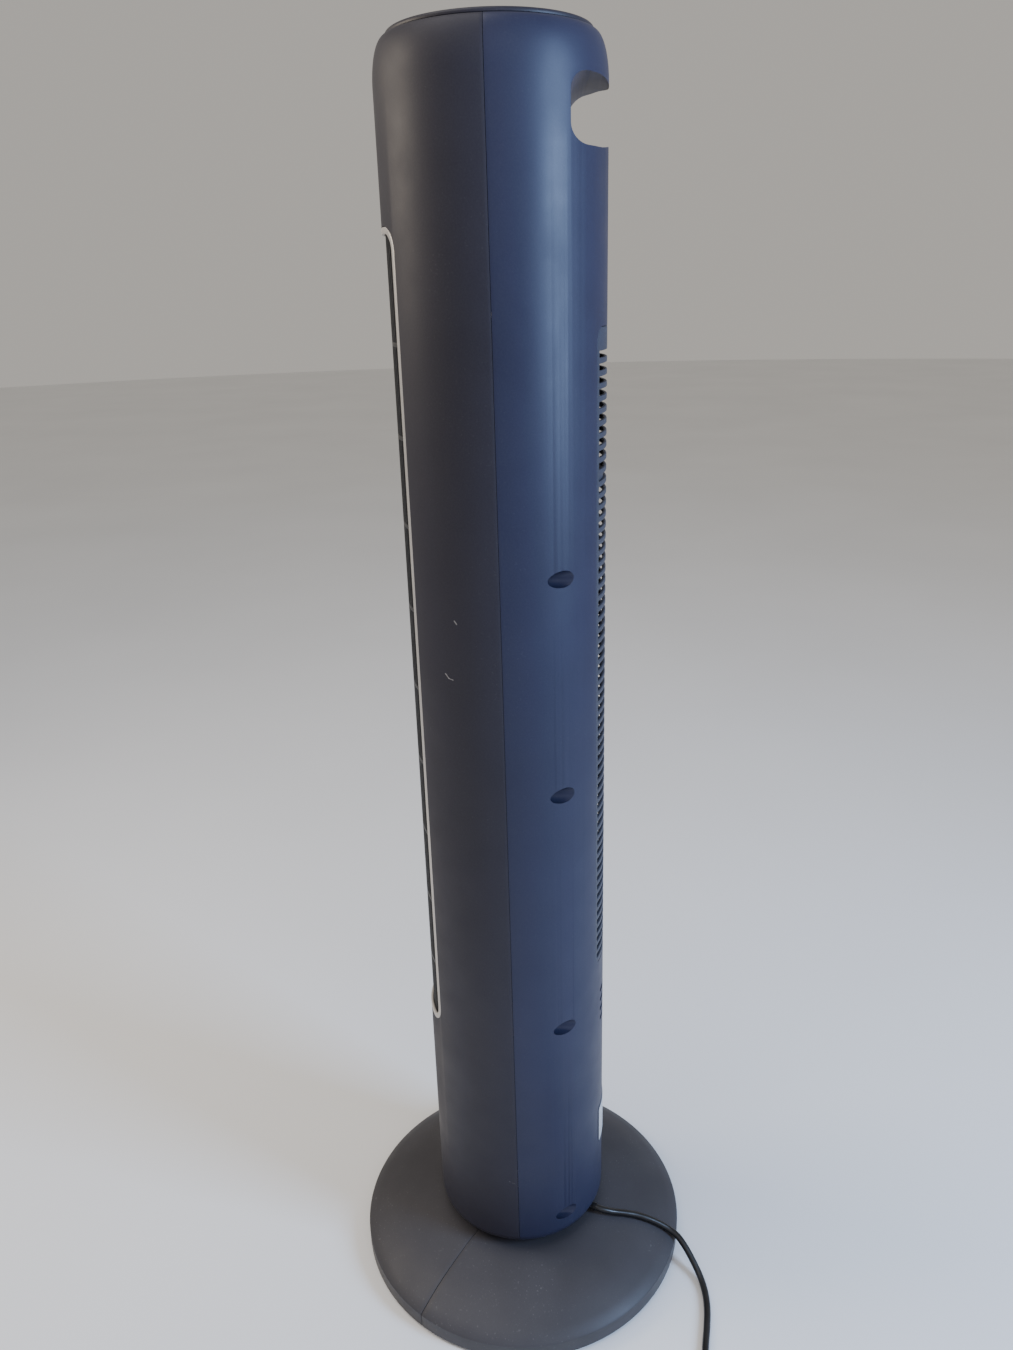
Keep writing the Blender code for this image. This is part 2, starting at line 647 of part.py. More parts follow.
def gear_outline(teeth, kept_teeth, first_angle):
    """Involute teeth, of which the first kept_teeth are cut and the rest is a plain arc."""
    pitch = GEAR_MODULE * teeth / 2.0
    base_radius = pitch * math.cos(PRESSURE_ANGLE)
    tip = pitch + 0.80 * GEAR_MODULE
    root = pitch - GEAR_ROOT_DEPTH
    half_tooth = math.pi / (2.0 * teeth) - GEAR_BACKLASH / (4.0 * pitch)
    at_pitch = involute_half_angle(pitch, base_radius)
    flank = (root, max(base_radius, pitch - 0.45 * GEAR_MODULE), pitch, tip)
    outline = []
    for tooth in range(teeth):
        middle = first_angle + 2.0 * math.pi * tooth / teeth
        if tooth >= kept_teeth:
            outline.append(tuple(polar(root, middle).xy))
            continue
        for side in (-1.0, 1.0):
            radii = flank if side < 0.0 else tuple(reversed(flank))
            for radius in radii:
                half = half_tooth + at_pitch - involute_half_angle(radius, base_radius)
                outline.append(tuple(polar(radius, middle + side * half).xy))
    return outline


def circle_outline(radius, steps, centre=(0.0, 0.0)):
    """A circle's outline."""
    return [
        (centre[0] + radius * math.cos(2.0 * math.pi * step / steps),
         centre[1] + radius * math.sin(2.0 * math.pi * step / steps))
        for step in range(steps)
    ]


def make_swivel():
    """The fixed post with its gear, and the turning plate that carries the column."""
    bore = POST_RADIUS - POST_WALL
    turned("swivel_post", [
        (bore, post_top), (POST_RADIUS, post_top), (POST_RADIUS, post_flange_top),
        (POST_FLANGE_RADIUS, post_flange_top), (POST_FLANGE_RADIUS, post_flange_bottom),
        (POST_RADIUS, post_flange_bottom), (POST_RADIUS, post_bottom), (bore, post_bottom),
    ], PLATE_STEPS, GUIDE_FINISH)
    turned("glide_ring",
           ring_profile(turning_bore, POST_FLANGE_RADIUS - 0.001, glide_bottom, glide_top),
           PLATE_STEPS, ACETAL_FINISH)
    turned("retainer_ring",
           ring_profile(post_bore, RETAINER_RADIUS, retainer_bottom, retainer_top),
           PLATE_STEPS, ACETAL_FINISH)

    tooth_angle = 360.0 / GEAR_TEETH
    kept = int((GEAR_SECTOR[1] - GEAR_SECTOR[0]) / tooth_angle)
    # a tooth space of the fixed gear faces the pinion's first tooth at rest
    steps_back = round((math.degrees(PINION_AZIMUTH) - GEAR_SECTOR[0]) / tooth_angle)
    first = PINION_AZIMUTH + math.radians(tooth_angle * (0.5 - steps_back))
    prism("swivel_gear",
          [gear_outline(GEAR_TEETH, kept, first), circle_outline(post_bore, PLATE_STEPS)],
          GEAR_THICKNESS, Matrix.Translation((0.0, 0.0, gear_bottom + GEAR_THICKNESS / 2.0)),
          ACETAL_FINISH)

    facing = PINION_AZIMUTH + math.pi
    pinion = prism("swing_pinion", [gear_outline(PINION_TEETH, PINION_TEETH, facing)],
                   GEAR_THICKNESS,
                   Matrix.Translation((0.0, 0.0, gear_bottom + GEAR_THICKNESS / 2.0)),
                   ACETAL_FINISH)
    pinion.location = pinion_axis
    shaft_top = deck_top + SWING_MOTOR_HEIGHT / 2.0
    spindle = cylinders("swing_pinion_spindle", [
        (pinion_axis + Vector((0.0, 0.0, gear_top - GEAR_THICKNESS / 2.0)),
         pinion_axis + Vector((0.0, 0.0, shaft_top)),
         PINION_SHAFT_RADIUS, PINION_SHAFT_RADIUS),
    ])
    boolean(pinion, spindle, "UNION")

    turntable = turned("turntable", [
        (turning_bore, turntable_top), (TURNTABLE_RADIUS, turntable_top),
        (TURNTABLE_RADIUS, turntable_plate_bottom),
        (SHELL_BOTTOM_HOLE - 0.0005, turntable_plate_bottom),
        (SHELL_BOTTOM_HOLE - 0.0005, turntable_bottom), (turning_bore, turntable_bottom),
    ], PLATE_STEPS, GUIDE_FINISH)
    pillars = cylinders("deck_pillars", [
        (polar(DECK_PILLAR_CIRCLE, math.radians(azimuth), turntable_top - 0.001),
         polar(DECK_PILLAR_CIRCLE, math.radians(azimuth), deck_bottom - TOUCH_GAP),
         DECK_PILLAR_RADIUS, DECK_PILLAR_RADIUS)
        for azimuth in DECK_PILLAR_AZIMUTHS
    ])
    boolean(turntable, pillars, "UNION")
    half_slot = RELIEF_INNER_RADIUS + 2.0 * RELIEF_CLEARANCE
    slot = boxes("relief_slot", [
        ((RELIEF_INNER - 0.0020, -half_slot, turntable_bottom - CUT_PAST),
         (COLUMN_RADIUS, half_slot, turntable_top + CUT_PAST)),
    ])
    slot.rotation_euler = (0.0, 0.0, RELIEF_AZIMUTH)
    boolean(turntable, slot, "DIFFERENCE")


# ---------------------------------------------------------------- column shells

def shell_line(inset):
    """The column's outer line from the top hole to the bottom hole, moved in by this much."""
    shoulder = quarter_ellipse(
        (COLUMN_RADIUS - SHOULDER_IN, SHELL_TOP - SHOULDER_DOWN),
        SHOULDER_IN - inset, SHOULDER_DOWN - inset, 90.0, 0.0, 4,
    )
    lower = quarter_ellipse(
        (COLUMN_RADIUS - BOTTOM_ROUND_IN, SHELL_BOTTOM + BOTTOM_ROUND_UP),
        BOTTOM_ROUND_IN - inset, BOTTOM_ROUND_UP - inset, 0.0, -90.0, 4,
    )
    return shoulder + lower


def shell_profile():
    """The wall's closed section."""
    outer = [(SHELL_TOP_HOLE, SHELL_TOP)] + shell_line(0.0) + [(SHELL_BOTTOM_HOLE, SHELL_BOTTOM)]
    inner = (
        [(SHELL_TOP_HOLE, SHELL_TOP - SHELL_WALL)]
        + shell_line(SHELL_WALL)
        + [(SHELL_BOTTOM_HOLE, SHELL_BOTTOM + SHELL_WALL)]
    )
    return outer + list(reversed(inner))


def half_box(name, side):
    """Keeps what lies on one side of the seam plane."""
    reach = COLUMN_RADIUS + CUT_PAST
    near, far = sorted((side * SEAM_GAP / 2.0, side * reach))
    return boxes(name, [((-reach, near, 0.0), (reach, far, CAP_TOP))])


def screw_places():
    """The middle of each shell screw: side by side, from the lowest pair up."""
    return [(side * SCREW_X, height) for height in SCREW_HEIGHTS for side in (1.0, -1.0)]


def make_shells(core):
    """The front shell with its outlet and bosses, and the rear shell with its wells and notch."""
    front = turned("front_shell", shell_profile(), ROUND_STEPS, SHELL_FRONT_FINISH)
    boolean(front, half_box("front_half", -1.0), "INTERSECT")
    boss_end = WELL_FLOOR_Y - TOUCH_GAP
    bosses = cylinders("front_bosses", [
        ((x, BOSS_ROOT_Y, z), (x, boss_end, z), BOSS_RADIUS, BOSS_RADIUS)
        for x, z in screw_places()
    ])
    boolean(bosses, core, "INTERSECT")
    boolean(front, bosses, "UNION")
    pilot = SCREW_SHANK_RADIUS + TOUCH_GAP
    screw_tip = WELL_FLOOR_Y + WELL_FLOOR - SCREW_LENGTH
    bores = cylinders("front_bores", [
        ((x, screw_tip - 0.002, z), (x, WELL_FLOOR_Y + 0.001, z), pilot, pilot)
        for x, z in screw_places()
    ], steps=8)
    boolean(front, bores, "DIFFERENCE")
    outlet = prism("outlet_cut", [
        rounded_rectangle(OUTLET_HALF_WIDTH, OUTLET_BOTTOM, OUTLET_TOP, OUTLET_CORNER),
    ], COLUMN_RADIUS, facing_y(-COLUMN_RADIUS + 0.010))
    boolean(front, outlet, "DIFFERENCE")

    rear = turned("rear_shell", shell_profile(), ROUND_STEPS, SHELL_REAR_FINISH)
    boolean(rear, half_box("rear_half", 1.0), "INTERSECT")
    reach = COLUMN_RADIUS + CUT_PAST
    across = Matrix.Rotation(math.pi / 2.0, 4, "Z") @ Matrix.Rotation(math.pi / 2.0, 4, "X")

    def notch(grow, depth):
        """The groove's outline (y, z) with round inner corners, grown by a wall."""
        low, high = NOTCH_FLOOR - grow, NOTCH_ROOF + grow
        inner, corner = NOTCH_INNER_Y - grow, NOTCH_CORNER + grow
        outline = [(reach, low), (reach, high)]
        outline += quarter_ellipse((inner + corner, high - corner), corner, corner, 90.0, 180.0, 4)
        outline += quarter_ellipse((inner + corner, low + corner), corner, corner, 180.0, 270.0, 4)
        return [outline], depth, across

    lining = prism("notch_lining", *notch(SHELL_WALL, 2.0 * reach))
    wells = cylinders("rear_wells", [
        ((x, WELL_FLOOR_Y, z), (x, reach, z), WELL_RADIUS + WELL_WALL, WELL_RADIUS + WELL_WALL)
        for x, z in screw_places()
    ], steps=12)
    added = joined("rear_added", [lining, wells])
    boolean(added, core, "INTERSECT")
    boolean(rear, added, "UNION")

    groove = prism("notch_cut", *notch(0.0, 2.0 * reach + 2.0 * CUT_PAST))
    well_bores = cylinders("well_bores", [
        ((x, WELL_FLOOR_Y + WELL_FLOOR, z), (x, reach, z), WELL_RADIUS, WELL_RADIUS)
        for x, z in screw_places()
    ], steps=12)
    inlet = prism("inlet_cut", [
        rounded_rectangle(INLET_HALF_WIDTH, INLET_BOTTOM, INLET_TOP, INLET_CORNER, 3),
    ], COLUMN_RADIUS, facing_y(COLUMN_RADIUS - 0.010))
    vents = [
        prism("vent_cut_%d" % number, [
            rounded_rectangle(
                VENT_HALF_WIDTH, VENT_LOWEST + VENT_PITCH * number - VENT_HEIGHT / 2.0,
                VENT_LOWEST + VENT_PITCH * number + VENT_HEIGHT / 2.0,
                VENT_HEIGHT * 0.499, 2,
            ),
        ], 0.020, facing_y(COLUMN_RADIUS - 0.004))
        for number in range(VENT_COUNT)
    ]
    boolean(rear, joined("rear_cut", [groove, well_bores, inlet, *vents]), "DIFFERENCE")
    screw_holes = cylinders("screw_holes", [
        ((x, WELL_FLOOR_Y - 0.001, z), (x, WELL_FLOOR_Y + WELL_FLOOR + 0.001, z), pilot, pilot)
        for x, z in screw_places()
    ], steps=8)
    boolean(rear, screw_holes, "DIFFERENCE")
    relief_hole = cylinders("relief_hole", [
        (polar(SHELL_BOTTOM_HOLE - CUT_PAST, RELIEF_AZIMUTH, RELIEF_HEIGHT),
         polar(COLUMN_RADIUS + CUT_PAST, RELIEF_AZIMUTH, RELIEF_HEIGHT),
         RELIEF_INNER_RADIUS + RELIEF_CLEARANCE, RELIEF_INNER_RADIUS + RELIEF_CLEARANCE),
    ])
    boolean(rear, relief_hole, "DIFFERENCE")


def make_shell_screws():
    """Pan-head screws at the floors of the wells, pointing to the front."""
    seat = WELL_FLOOR_Y + WELL_FLOOR + TOUCH_GAP
    shank_top = SCREW_LENGTH - WELL_FLOOR
    for number, (x, z) in enumerate(screw_places()):
        screw = cylinders("shell_screw_%d" % (number + 1), [
            ((0.0, 0.0, 0.0), (0.0, SCREW_HEAD_HEIGHT, 0.0),
             SCREW_HEAD_RADIUS, SCREW_HEAD_RADIUS * 0.75),
        ], STEEL_FINISH, 8)
        screw.location = (x, seat, z)
        shank = cylinders("shank_%d" % (number + 1), [
            ((x, seat - shank_top, z), (x, seat + SCREW_HEAD_HEIGHT / 2.0, z),
             SCREW_SHANK_RADIUS, SCREW_SHANK_RADIUS),
        ], steps=6)
        boolean(screw, shank, "UNION")


# ---------------------------------------------------------------- outlet and inlet

def make_outlet():
    """The satin trim round the outlet, and the grille set back behind it."""
    outer = COLUMN_RADIUS + TRIM_PROUD
    trim = turned("outlet_trim", ring_profile(
        outer - TRIM_DEPTH, outer, OUTLET_BOTTOM - CUT_PAST, OUTLET_TOP + CUT_PAST,
    ), ROUND_STEPS, TRIM_FINISH)
    frame = prism("trim_frame", [
        rounded_rectangle(
            OUTLET_HALF_WIDTH - inset, OUTLET_BOTTOM + inset, OUTLET_TOP - inset,
            OUTLET_CORNER - inset,
        )
        for inset in (SEAM_GAP, SEAM_GAP + TRIM_WIDTH)
    ], COLUMN_RADIUS, facing_y(-COLUMN_RADIUS + 0.010))
    boolean(trim, frame, "INTERSECT")

    pitch = 2.0 * GRILLE_MARGIN_ANGLE / GRILLE_OPENINGS_ACROSS
    bar = pitch * GRILLE_BAR_SHARE
    edge = math.asin(OUTLET_HALF_WIDTH / GRILLE_RADIUS) + math.radians(1.0)
    angles = [-edge]
    for number in range(GRILLE_OPENINGS_ACROSS):
        start = -GRILLE_MARGIN_ANGLE + pitch * number
        angles += [start + bar / 2.0, start + pitch - bar / 2.0]
    angles.append(edge)
    heights = [OUTLET_BOTTOM - 0.001, OUTLET_BOTTOM + TRIM_WIDTH]
    for number in range(RIB_COUNT):
        middle = RIB_FIRST + RIB_PITCH * number
        heights += [middle - RIB_HEIGHT / 2.0, middle + RIB_HEIGHT / 2.0]
    heights += [OUTLET_TOP - TRIM_WIDTH, OUTLET_TOP + 0.001]
    grille = curved_sheet(
        "outlet_grille", GRILLE_RADIUS, -math.pi / 2.0, angles, heights,
        lambda column, row: column % 2 == 1 and row % 2 == 1, GRILLE_DEPTH, GRILLE_FINISH,
    )
    window = prism("grille_edge", [
        rounded_rectangle(
            OUTLET_HALF_WIDTH - SEAM_GAP, OUTLET_BOTTOM + SEAM_GAP, OUTLET_TOP - SEAM_GAP,
            OUTLET_CORNER - SEAM_GAP,
        ),
    ], COLUMN_RADIUS, facing_y(-COLUMN_RADIUS + 0.010))
    boolean(grille, window, "INTERSECT")


def make_inlet():
    """The louvred rear panel, flush in its opening."""
    slot = LOUVRE_SLOT_HALF_ANGLE
    edge = math.asin(INLET_HALF_WIDTH / COLUMN_RADIUS) + math.radians(1.5)
    angles = [-edge]
    angles += [-slot + 2.0 * slot * step / LOUVRE_SEGMENTS for step in range(LOUVRE_SEGMENTS + 1)]
    angles.append(edge)
    lowest = LOUVRE_TOP_SLOT - LOUVRE_PITCH * (LOUVRE_COUNT - 1)
    heights = [INLET_BOTTOM - 0.001]
    for number in range(LOUVRE_COUNT):
        middle = lowest + LOUVRE_PITCH * number
        heights += [middle - LOUVRE_SLOT_HEIGHT / 2.0, middle + LOUVRE_SLOT_HEIGHT / 2.0]
    heights.append(INLET_TOP + 0.001)
    louvre = curved_sheet(
        "inlet_louvre", COLUMN_RADIUS, math.pi / 2.0, angles, heights,
        lambda column, row: 1 <= column <= LOUVRE_SEGMENTS and row % 2 == 1,
        SHELL_WALL, LOUVRE_FINISH,
    )
    edge_cut = prism("louvre_edge", [
        rounded_rectangle(
            INLET_HALF_WIDTH - SEAM_GAP, INLET_BOTTOM + SEAM_GAP, INLET_TOP - SEAM_GAP,
            INLET_CORNER - SEAM_GAP, 3,
        ),
    ], COLUMN_RADIUS, facing_y(COLUMN_RADIUS - 0.010))
    boolean(louvre, edge_cut, "INTERSECT")


def make_label():
    """The blank rating label on the rear."""
    angles = [-LABEL_HALF_ANGLE + LABEL_HALF_ANGLE * step / 3.0 for step in range(7)]
    curved_sheet(
        "rating_label", COLUMN_RADIUS + TOUCH_GAP + LABEL_THICKNESS, math.pi / 2.0, angles,
        [LABEL_BOTTOM, LABEL_TOP], lambda column, row: False, LABEL_THICKNESS, LABEL_FINISH,
    )


# ---------------------------------------------------------------- top

def button_places():
    """Each button's name and its middle."""
    middle = (len(BUTTON_NAMES) - 1) / 2.0
    return [
        (name, ((number - middle) * BUTTON_SPACING, BUTTON_ROW_Y))
        for number, name in enumerate(BUTTON_NAMES)
    ]


def make_top():
    """The cap with its spigot, the glossy panel, the window, the buttons and their board."""
    floor_top = CAP_FLOOR_BOTTOM + CAP_FLOOR_THICKNESS
    spigot = SHELL_TOP_HOLE - TOUCH_GAP
    rim_inner = PANEL_RADIUS + SEAM_GAP
    cap_bottom = SHELL_TOP + TOUCH_GAP
    edge = quarter_ellipse((CAP_RADIUS - CAP_EDGE, CAP_TOP - CAP_EDGE), CAP_EDGE, CAP_EDGE,
                           90.0, 0.0, 3)
    cap = turned("top_cap", [
        (0.0, floor_top), (rim_inner, floor_top), (rim_inner, CAP_TOP), *edge,
        (CAP_RADIUS, cap_bottom), (spigot, cap_bottom), (spigot, CAP_SPIGOT_BOTTOM),
        (spigot - CAP_SPIGOT_WALL, CAP_SPIGOT_BOTTOM), (spigot - CAP_SPIGOT_WALL, CAP_FLOOR_BOTTOM),
        (0.0, CAP_FLOOR_BOTTOM),
    ], PLATE_STEPS + 16, SHELL_FRONT_FINISH)
    board_top = CONTROL_BOARD_BOTTOM + BOARD_THICKNESS
    pillars = cylinders("cap_pillars", [
        (polar(PILLAR_CIRCLE, math.radians(azimuth), board_top + TOUCH_GAP),
         polar(PILLAR_CIRCLE, math.radians(azimuth), CAP_FLOOR_BOTTOM + 0.001),
         PILLAR_RADIUS, PILLAR_RADIUS)
        for azimuth in PILLAR_AZIMUTHS
    ], steps=8)
    boolean(cap, pillars, "UNION")
    hole = BUTTON_RADIUS + BUTTON_CLEARANCE
    holes = cylinders("button_holes", [
        ((x, y, CAP_FLOOR_BOTTOM - CUT_PAST / 4.0), (x, y, CAP_TOP + CUT_PAST), hole, hole)
        for _, (x, y) in button_places()
    ])
    boolean(cap, holes, "DIFFERENCE")
    width, depth = WINDOW_SIZE
    sight = boxes("window_sight", [
        ((-width / 2.0 + WINDOW_LEDGE, WINDOW_Y - depth / 2.0 + WINDOW_LEDGE,
          CAP_FLOOR_BOTTOM - CUT_PAST / 4.0),
         (width / 2.0 - WINDOW_LEDGE, WINDOW_Y + depth / 2.0 - WINDOW_LEDGE,
          floor_top + CUT_PAST / 4.0)),
    ])
    boolean(cap, sight, "DIFFERENCE")

    panel_bottom = floor_top + TOUCH_GAP
    panel_top = panel_bottom + PANEL_THICKNESS
    panel = cylinders("control_panel", [
        ((0.0, 0.0, panel_bottom), (0.0, 0.0, panel_top), PANEL_RADIUS, PANEL_RADIUS),
    ], PANEL_FINISH, PLATE_STEPS + 16)
    boolean(panel, holes, "DIFFERENCE")
    window_cut = boxes("window_cut", [
        ((-width / 2.0, WINDOW_Y - depth / 2.0, panel_bottom - 0.001),
         (width / 2.0, WINDOW_Y + depth / 2.0, panel_top + 0.001)),
    ])
    boolean(panel, window_cut, "DIFFERENCE")
    boxes("display_window", [
        ((-width / 2.0 + TOUCH_GAP, WINDOW_Y - depth / 2.0 + TOUCH_GAP, panel_bottom),
         (width / 2.0 - TOUCH_GAP, WINDOW_Y + depth / 2.0 - TOUCH_GAP, panel_top)),
    ], WINDOW_FINISH)

    flange_top = CAP_FLOOR_BOTTOM - TOUCH_GAP
    flange_bottom = flange_top - BUTTON_FLANGE_THICKNESS
    for name, (x, y) in button_places():
        turned("button_" + name, [
            (0.0, BUTTON_TOP - BUTTON_STEM_BOTTOM),
            (BUTTON_RADIUS - 0.0005, BUTTON_TOP - BUTTON_STEM_BOTTOM),
            (BUTTON_RADIUS, BUTTON_TOP - BUTTON_STEM_BOTTOM - 0.0005),
            (BUTTON_RADIUS, flange_top - BUTTON_STEM_BOTTOM),
            (BUTTON_FLANGE_RADIUS, flange_top - BUTTON_STEM_BOTTOM),
            (BUTTON_FLANGE_RADIUS, flange_bottom - BUTTON_STEM_BOTTOM),
            (BUTTON_STEM_RADIUS, flange_bottom - BUTTON_STEM_BOTTOM),
            (BUTTON_STEM_RADIUS, 0.0), (0.0, 0.0),
        ], SMALL_STEPS, BUTTON_FINISH, (x, y, BUTTON_STEM_BOTTOM))

    board = cylinders("control_board", [
        ((0.0, 0.0, CONTROL_BOARD_BOTTOM), (0.0, 0.0, board_top),
         CONTROL_BOARD_RADIUS, CONTROL_BOARD_RADIUS),
    ], BOARD_FINISH, PLATE_STEPS)
    half = SWITCH_SIZE / 2.0
    switches = boxes("switches", [
        ((x - half, y - half, board_top - 0.0005), (x + half, y + half, board_top + SWITCH_HEIGHT))
        for _, (x, y) in button_places()
    ])
    boolean(board, switches, "UNION")


# ---------------------------------------------------------------- air path

def flat_front_plate(name, bottom, thickness, hole, finish):
    """A disc across the column, cut straight behind the grille, with a middle hole."""
    half = math.acos(-DECK_FRONT_Y / DECK_RADIUS)
    outline = [
        tuple(polar(DECK_RADIUS, -math.pi / 2.0 + half
                    + (2.0 * math.pi - 2.0 * half) * step / PLATE_STEPS).xy)
        for step in range(PLATE_STEPS + 1)
    ]
    return prism(name, [outline, circle_outline(hole, SMALL_STEPS * 2)], thickness,
                 Matrix.Translation((0.0, 0.0, bottom + thickness / 2.0)), finish)


def upright_sheet(name, line, low, high, thickness, finish):
    """A plan line of (x, y) raised to a sheet and thickened evenly."""
    shape = bmesh.new()
    bmesh.ops.create_grid(shape, x_segments=len(line) - 1, y_segments=1, size=1.0)
    for point in shape.verts:
        x, y = line[round((point.co.x + 1.0) / 2.0 * (len(line) - 1))]
        point.co = (x, y, low if point.co.y < 0.0 else high)
    mesh = bpy.data.meshes.new(name)
    shape.to_mesh(mesh)
    shape.free()
    made = add_object(name, mesh, finish)
    thicken = made.modifiers.new("thickness", "SOLIDIFY")
    thicken.thickness = thickness
    thicken.offset = 0.0
    return made


def make_air_guides():
    """The scroll wall and the tongue that steer the air round the impeller."""
    low = MOTOR_PLATE_BOTTOM + PLATE_THICKNESS + TOUCH_GAP
    high = BRACKET_BOTTOM - TOUCH_GAP
    span = SCROLL_END - SCROLL_START
    growth = math.log(SCROLL_END_RADIUS / SCROLL_START_RADIUS) / span
    steps = 10
    scroll = [
        tuple(polar(SCROLL_START_RADIUS * math.exp(growth * span * step / steps),
                    math.radians(SCROLL_START + span * step / steps)).xy)
        for step in range(steps + 1)
    ]
    edge_x = OUTLET_HALF_WIDTH - 0.0020
    edge_y = DECK_FRONT_Y + 0.0010
    upright_sheet("scroll_wall", scroll + [(-edge_x, edge_y)], low, high, GUIDE_THICKNESS,
                  GUIDE_FINISH)
    tongue_tip = tuple(polar(IMPELLER_RADIUS + 0.0045, math.radians(-35.0)).xy)
    upright_sheet("tongue_wall", [
        (edge_x, edge_y), (edge_x - 0.0015, -0.0400), tongue_tip,
        (tongue_tip[0] + 0.0060, tongue_tip[1] + 0.0030), (0.0520, -0.0100),
    ], low, high, GUIDE_THICKNESS, GUIDE_FINISH)


def make_impeller():
    """The cross-flow wheel: rings and end discs joined by curved blades."""
    span = IMPELLER_TOP - IMPELLER_BOTTOM - IMPELLER_DISC_THICKNESS
    discs = []
    for number in range(IMPELLER_DISCS):
        bottom = IMPELLER_BOTTOM + span * number / (IMPELLER_DISCS - 1)
        if number == 0:
            hole = HUB_RADIUS + TOUCH_GAP
        elif number == IMPELLER_DISCS - 1:
            hole = SHAFT_RADIUS + TOUCH_GAP
        else:
            hole = BLADE_INNER_RADIUS - 0.0020
        discs.append(prism(
            "disc_%d" % number,
            [circle_outline(IMPELLER_RADIUS, PLATE_STEPS), circle_outline(hole, 2 * SMALL_STEPS)],
            IMPELLER_DISC_THICKNESS,
            Matrix.Translation((0.0, 0.0, bottom + IMPELLER_DISC_THICKNESS / 2.0)),
        ))
    wheel = joined("impeller", discs, WHEEL_FINISH)
    outer = IMPELLER_RADIUS - 0.0008
    low = IMPELLER_BOTTOM + IMPELLER_DISC_THICKNESS / 2.0
    high = IMPELLER_TOP - IMPELLER_DISC_THICKNESS / 2.0
    blades = []
    for number in range(IMPELLER_BLADES):
        start = 2.0 * math.pi * number / IMPELLER_BLADES
        front, back = [], []
        for step in range(3):
            share = step / 2.0
            radius = BLADE_INNER_RADIUS + (outer - BLADE_INNER_RADIUS) * share
            swept = start + 0.20 * share * share
            half = BLADE_THICKNESS / 2.0 / radius
            front.append(tuple(polar(radius, swept + half).xy))
            back.append(tuple(polar(radius, swept - half).xy))
        blades.append(prism("blade_%d" % number, [back + list(reversed(front))], high - low,
                            Matrix.Translation((0.0, 0.0, (low + high) / 2.0))))
    boolean(wheel, joined("impeller_blades", blades), "UNION")

    bore = SHAFT_RADIUS + TOUCH_GAP
    turned("hub_coupling", ring_profile(bore, HUB_RADIUS, IMPELLER_BOTTOM - 0.0010,
                                        IMPELLER_BOTTOM + 0.0080), SMALL_STEPS * 2, RUBBER_FINISH)
    cylinders("motor_shaft", [
        ((0.0, 0.0, FAN_MOTOR_BOTTOM - FAN_MOTOR_BELL_HEIGHT - 0.0015),
         (0.0, 0.0, IMPELLER_BOTTOM + 0.0075), SHAFT_RADIUS, SHAFT_RADIUS),
    ], STEEL_FINISH, SMALL_STEPS)
    cylinders("impeller_pin", [
        ((0.0, 0.0, IMPELLER_TOP - 0.0080), (0.0, 0.0, BRACKET_BOTTOM + PLATE_THICKNESS + 0.0030),
         SHAFT_RADIUS, SHAFT_RADIUS),
    ], STEEL_FINISH, SMALL_STEPS)


def make_supports():
    """The plates that carry the motor and the impeller's upper bearing, and the deck."""
    bush_outer = HUB_RADIUS + 0.0010
    flat_front_plate("motor_plate", MOTOR_PLATE_BOTTOM, PLATE_THICKNESS, bush_outer, GUIDE_FINISH)
    flat_front_plate("bearing_bracket", BRACKET_BOTTOM, PLATE_THICKNESS,
                     bush_outer + TOUCH_GAP, GUIDE_FINISH)
    turned("bearing_bush", ring_profile(
        SHAFT_RADIUS + TOUCH_GAP, bush_outer, BRACKET_BOTTOM - 0.0020,
        BRACKET_BOTTOM + PLATE_THICKNESS + 0.0035,
    ), SMALL_STEPS * 2, RUBBER_FINISH)
    prism("equipment_deck", [
        circle_outline(DECK_RADIUS, PLATE_STEPS), circle_outline(DECK_HOLE_RADIUS, SMALL_STEPS * 2),
        circle_outline(PINION_SHAFT_RADIUS + 2.0 * TOUCH_GAP, 8, pinion_axis.xy),
    ], DECK_THICKNESS, Matrix.Translation((0.0, 0.0, deck_bottom + DECK_THICKNESS / 2.0)),
        GUIDE_FINISH)


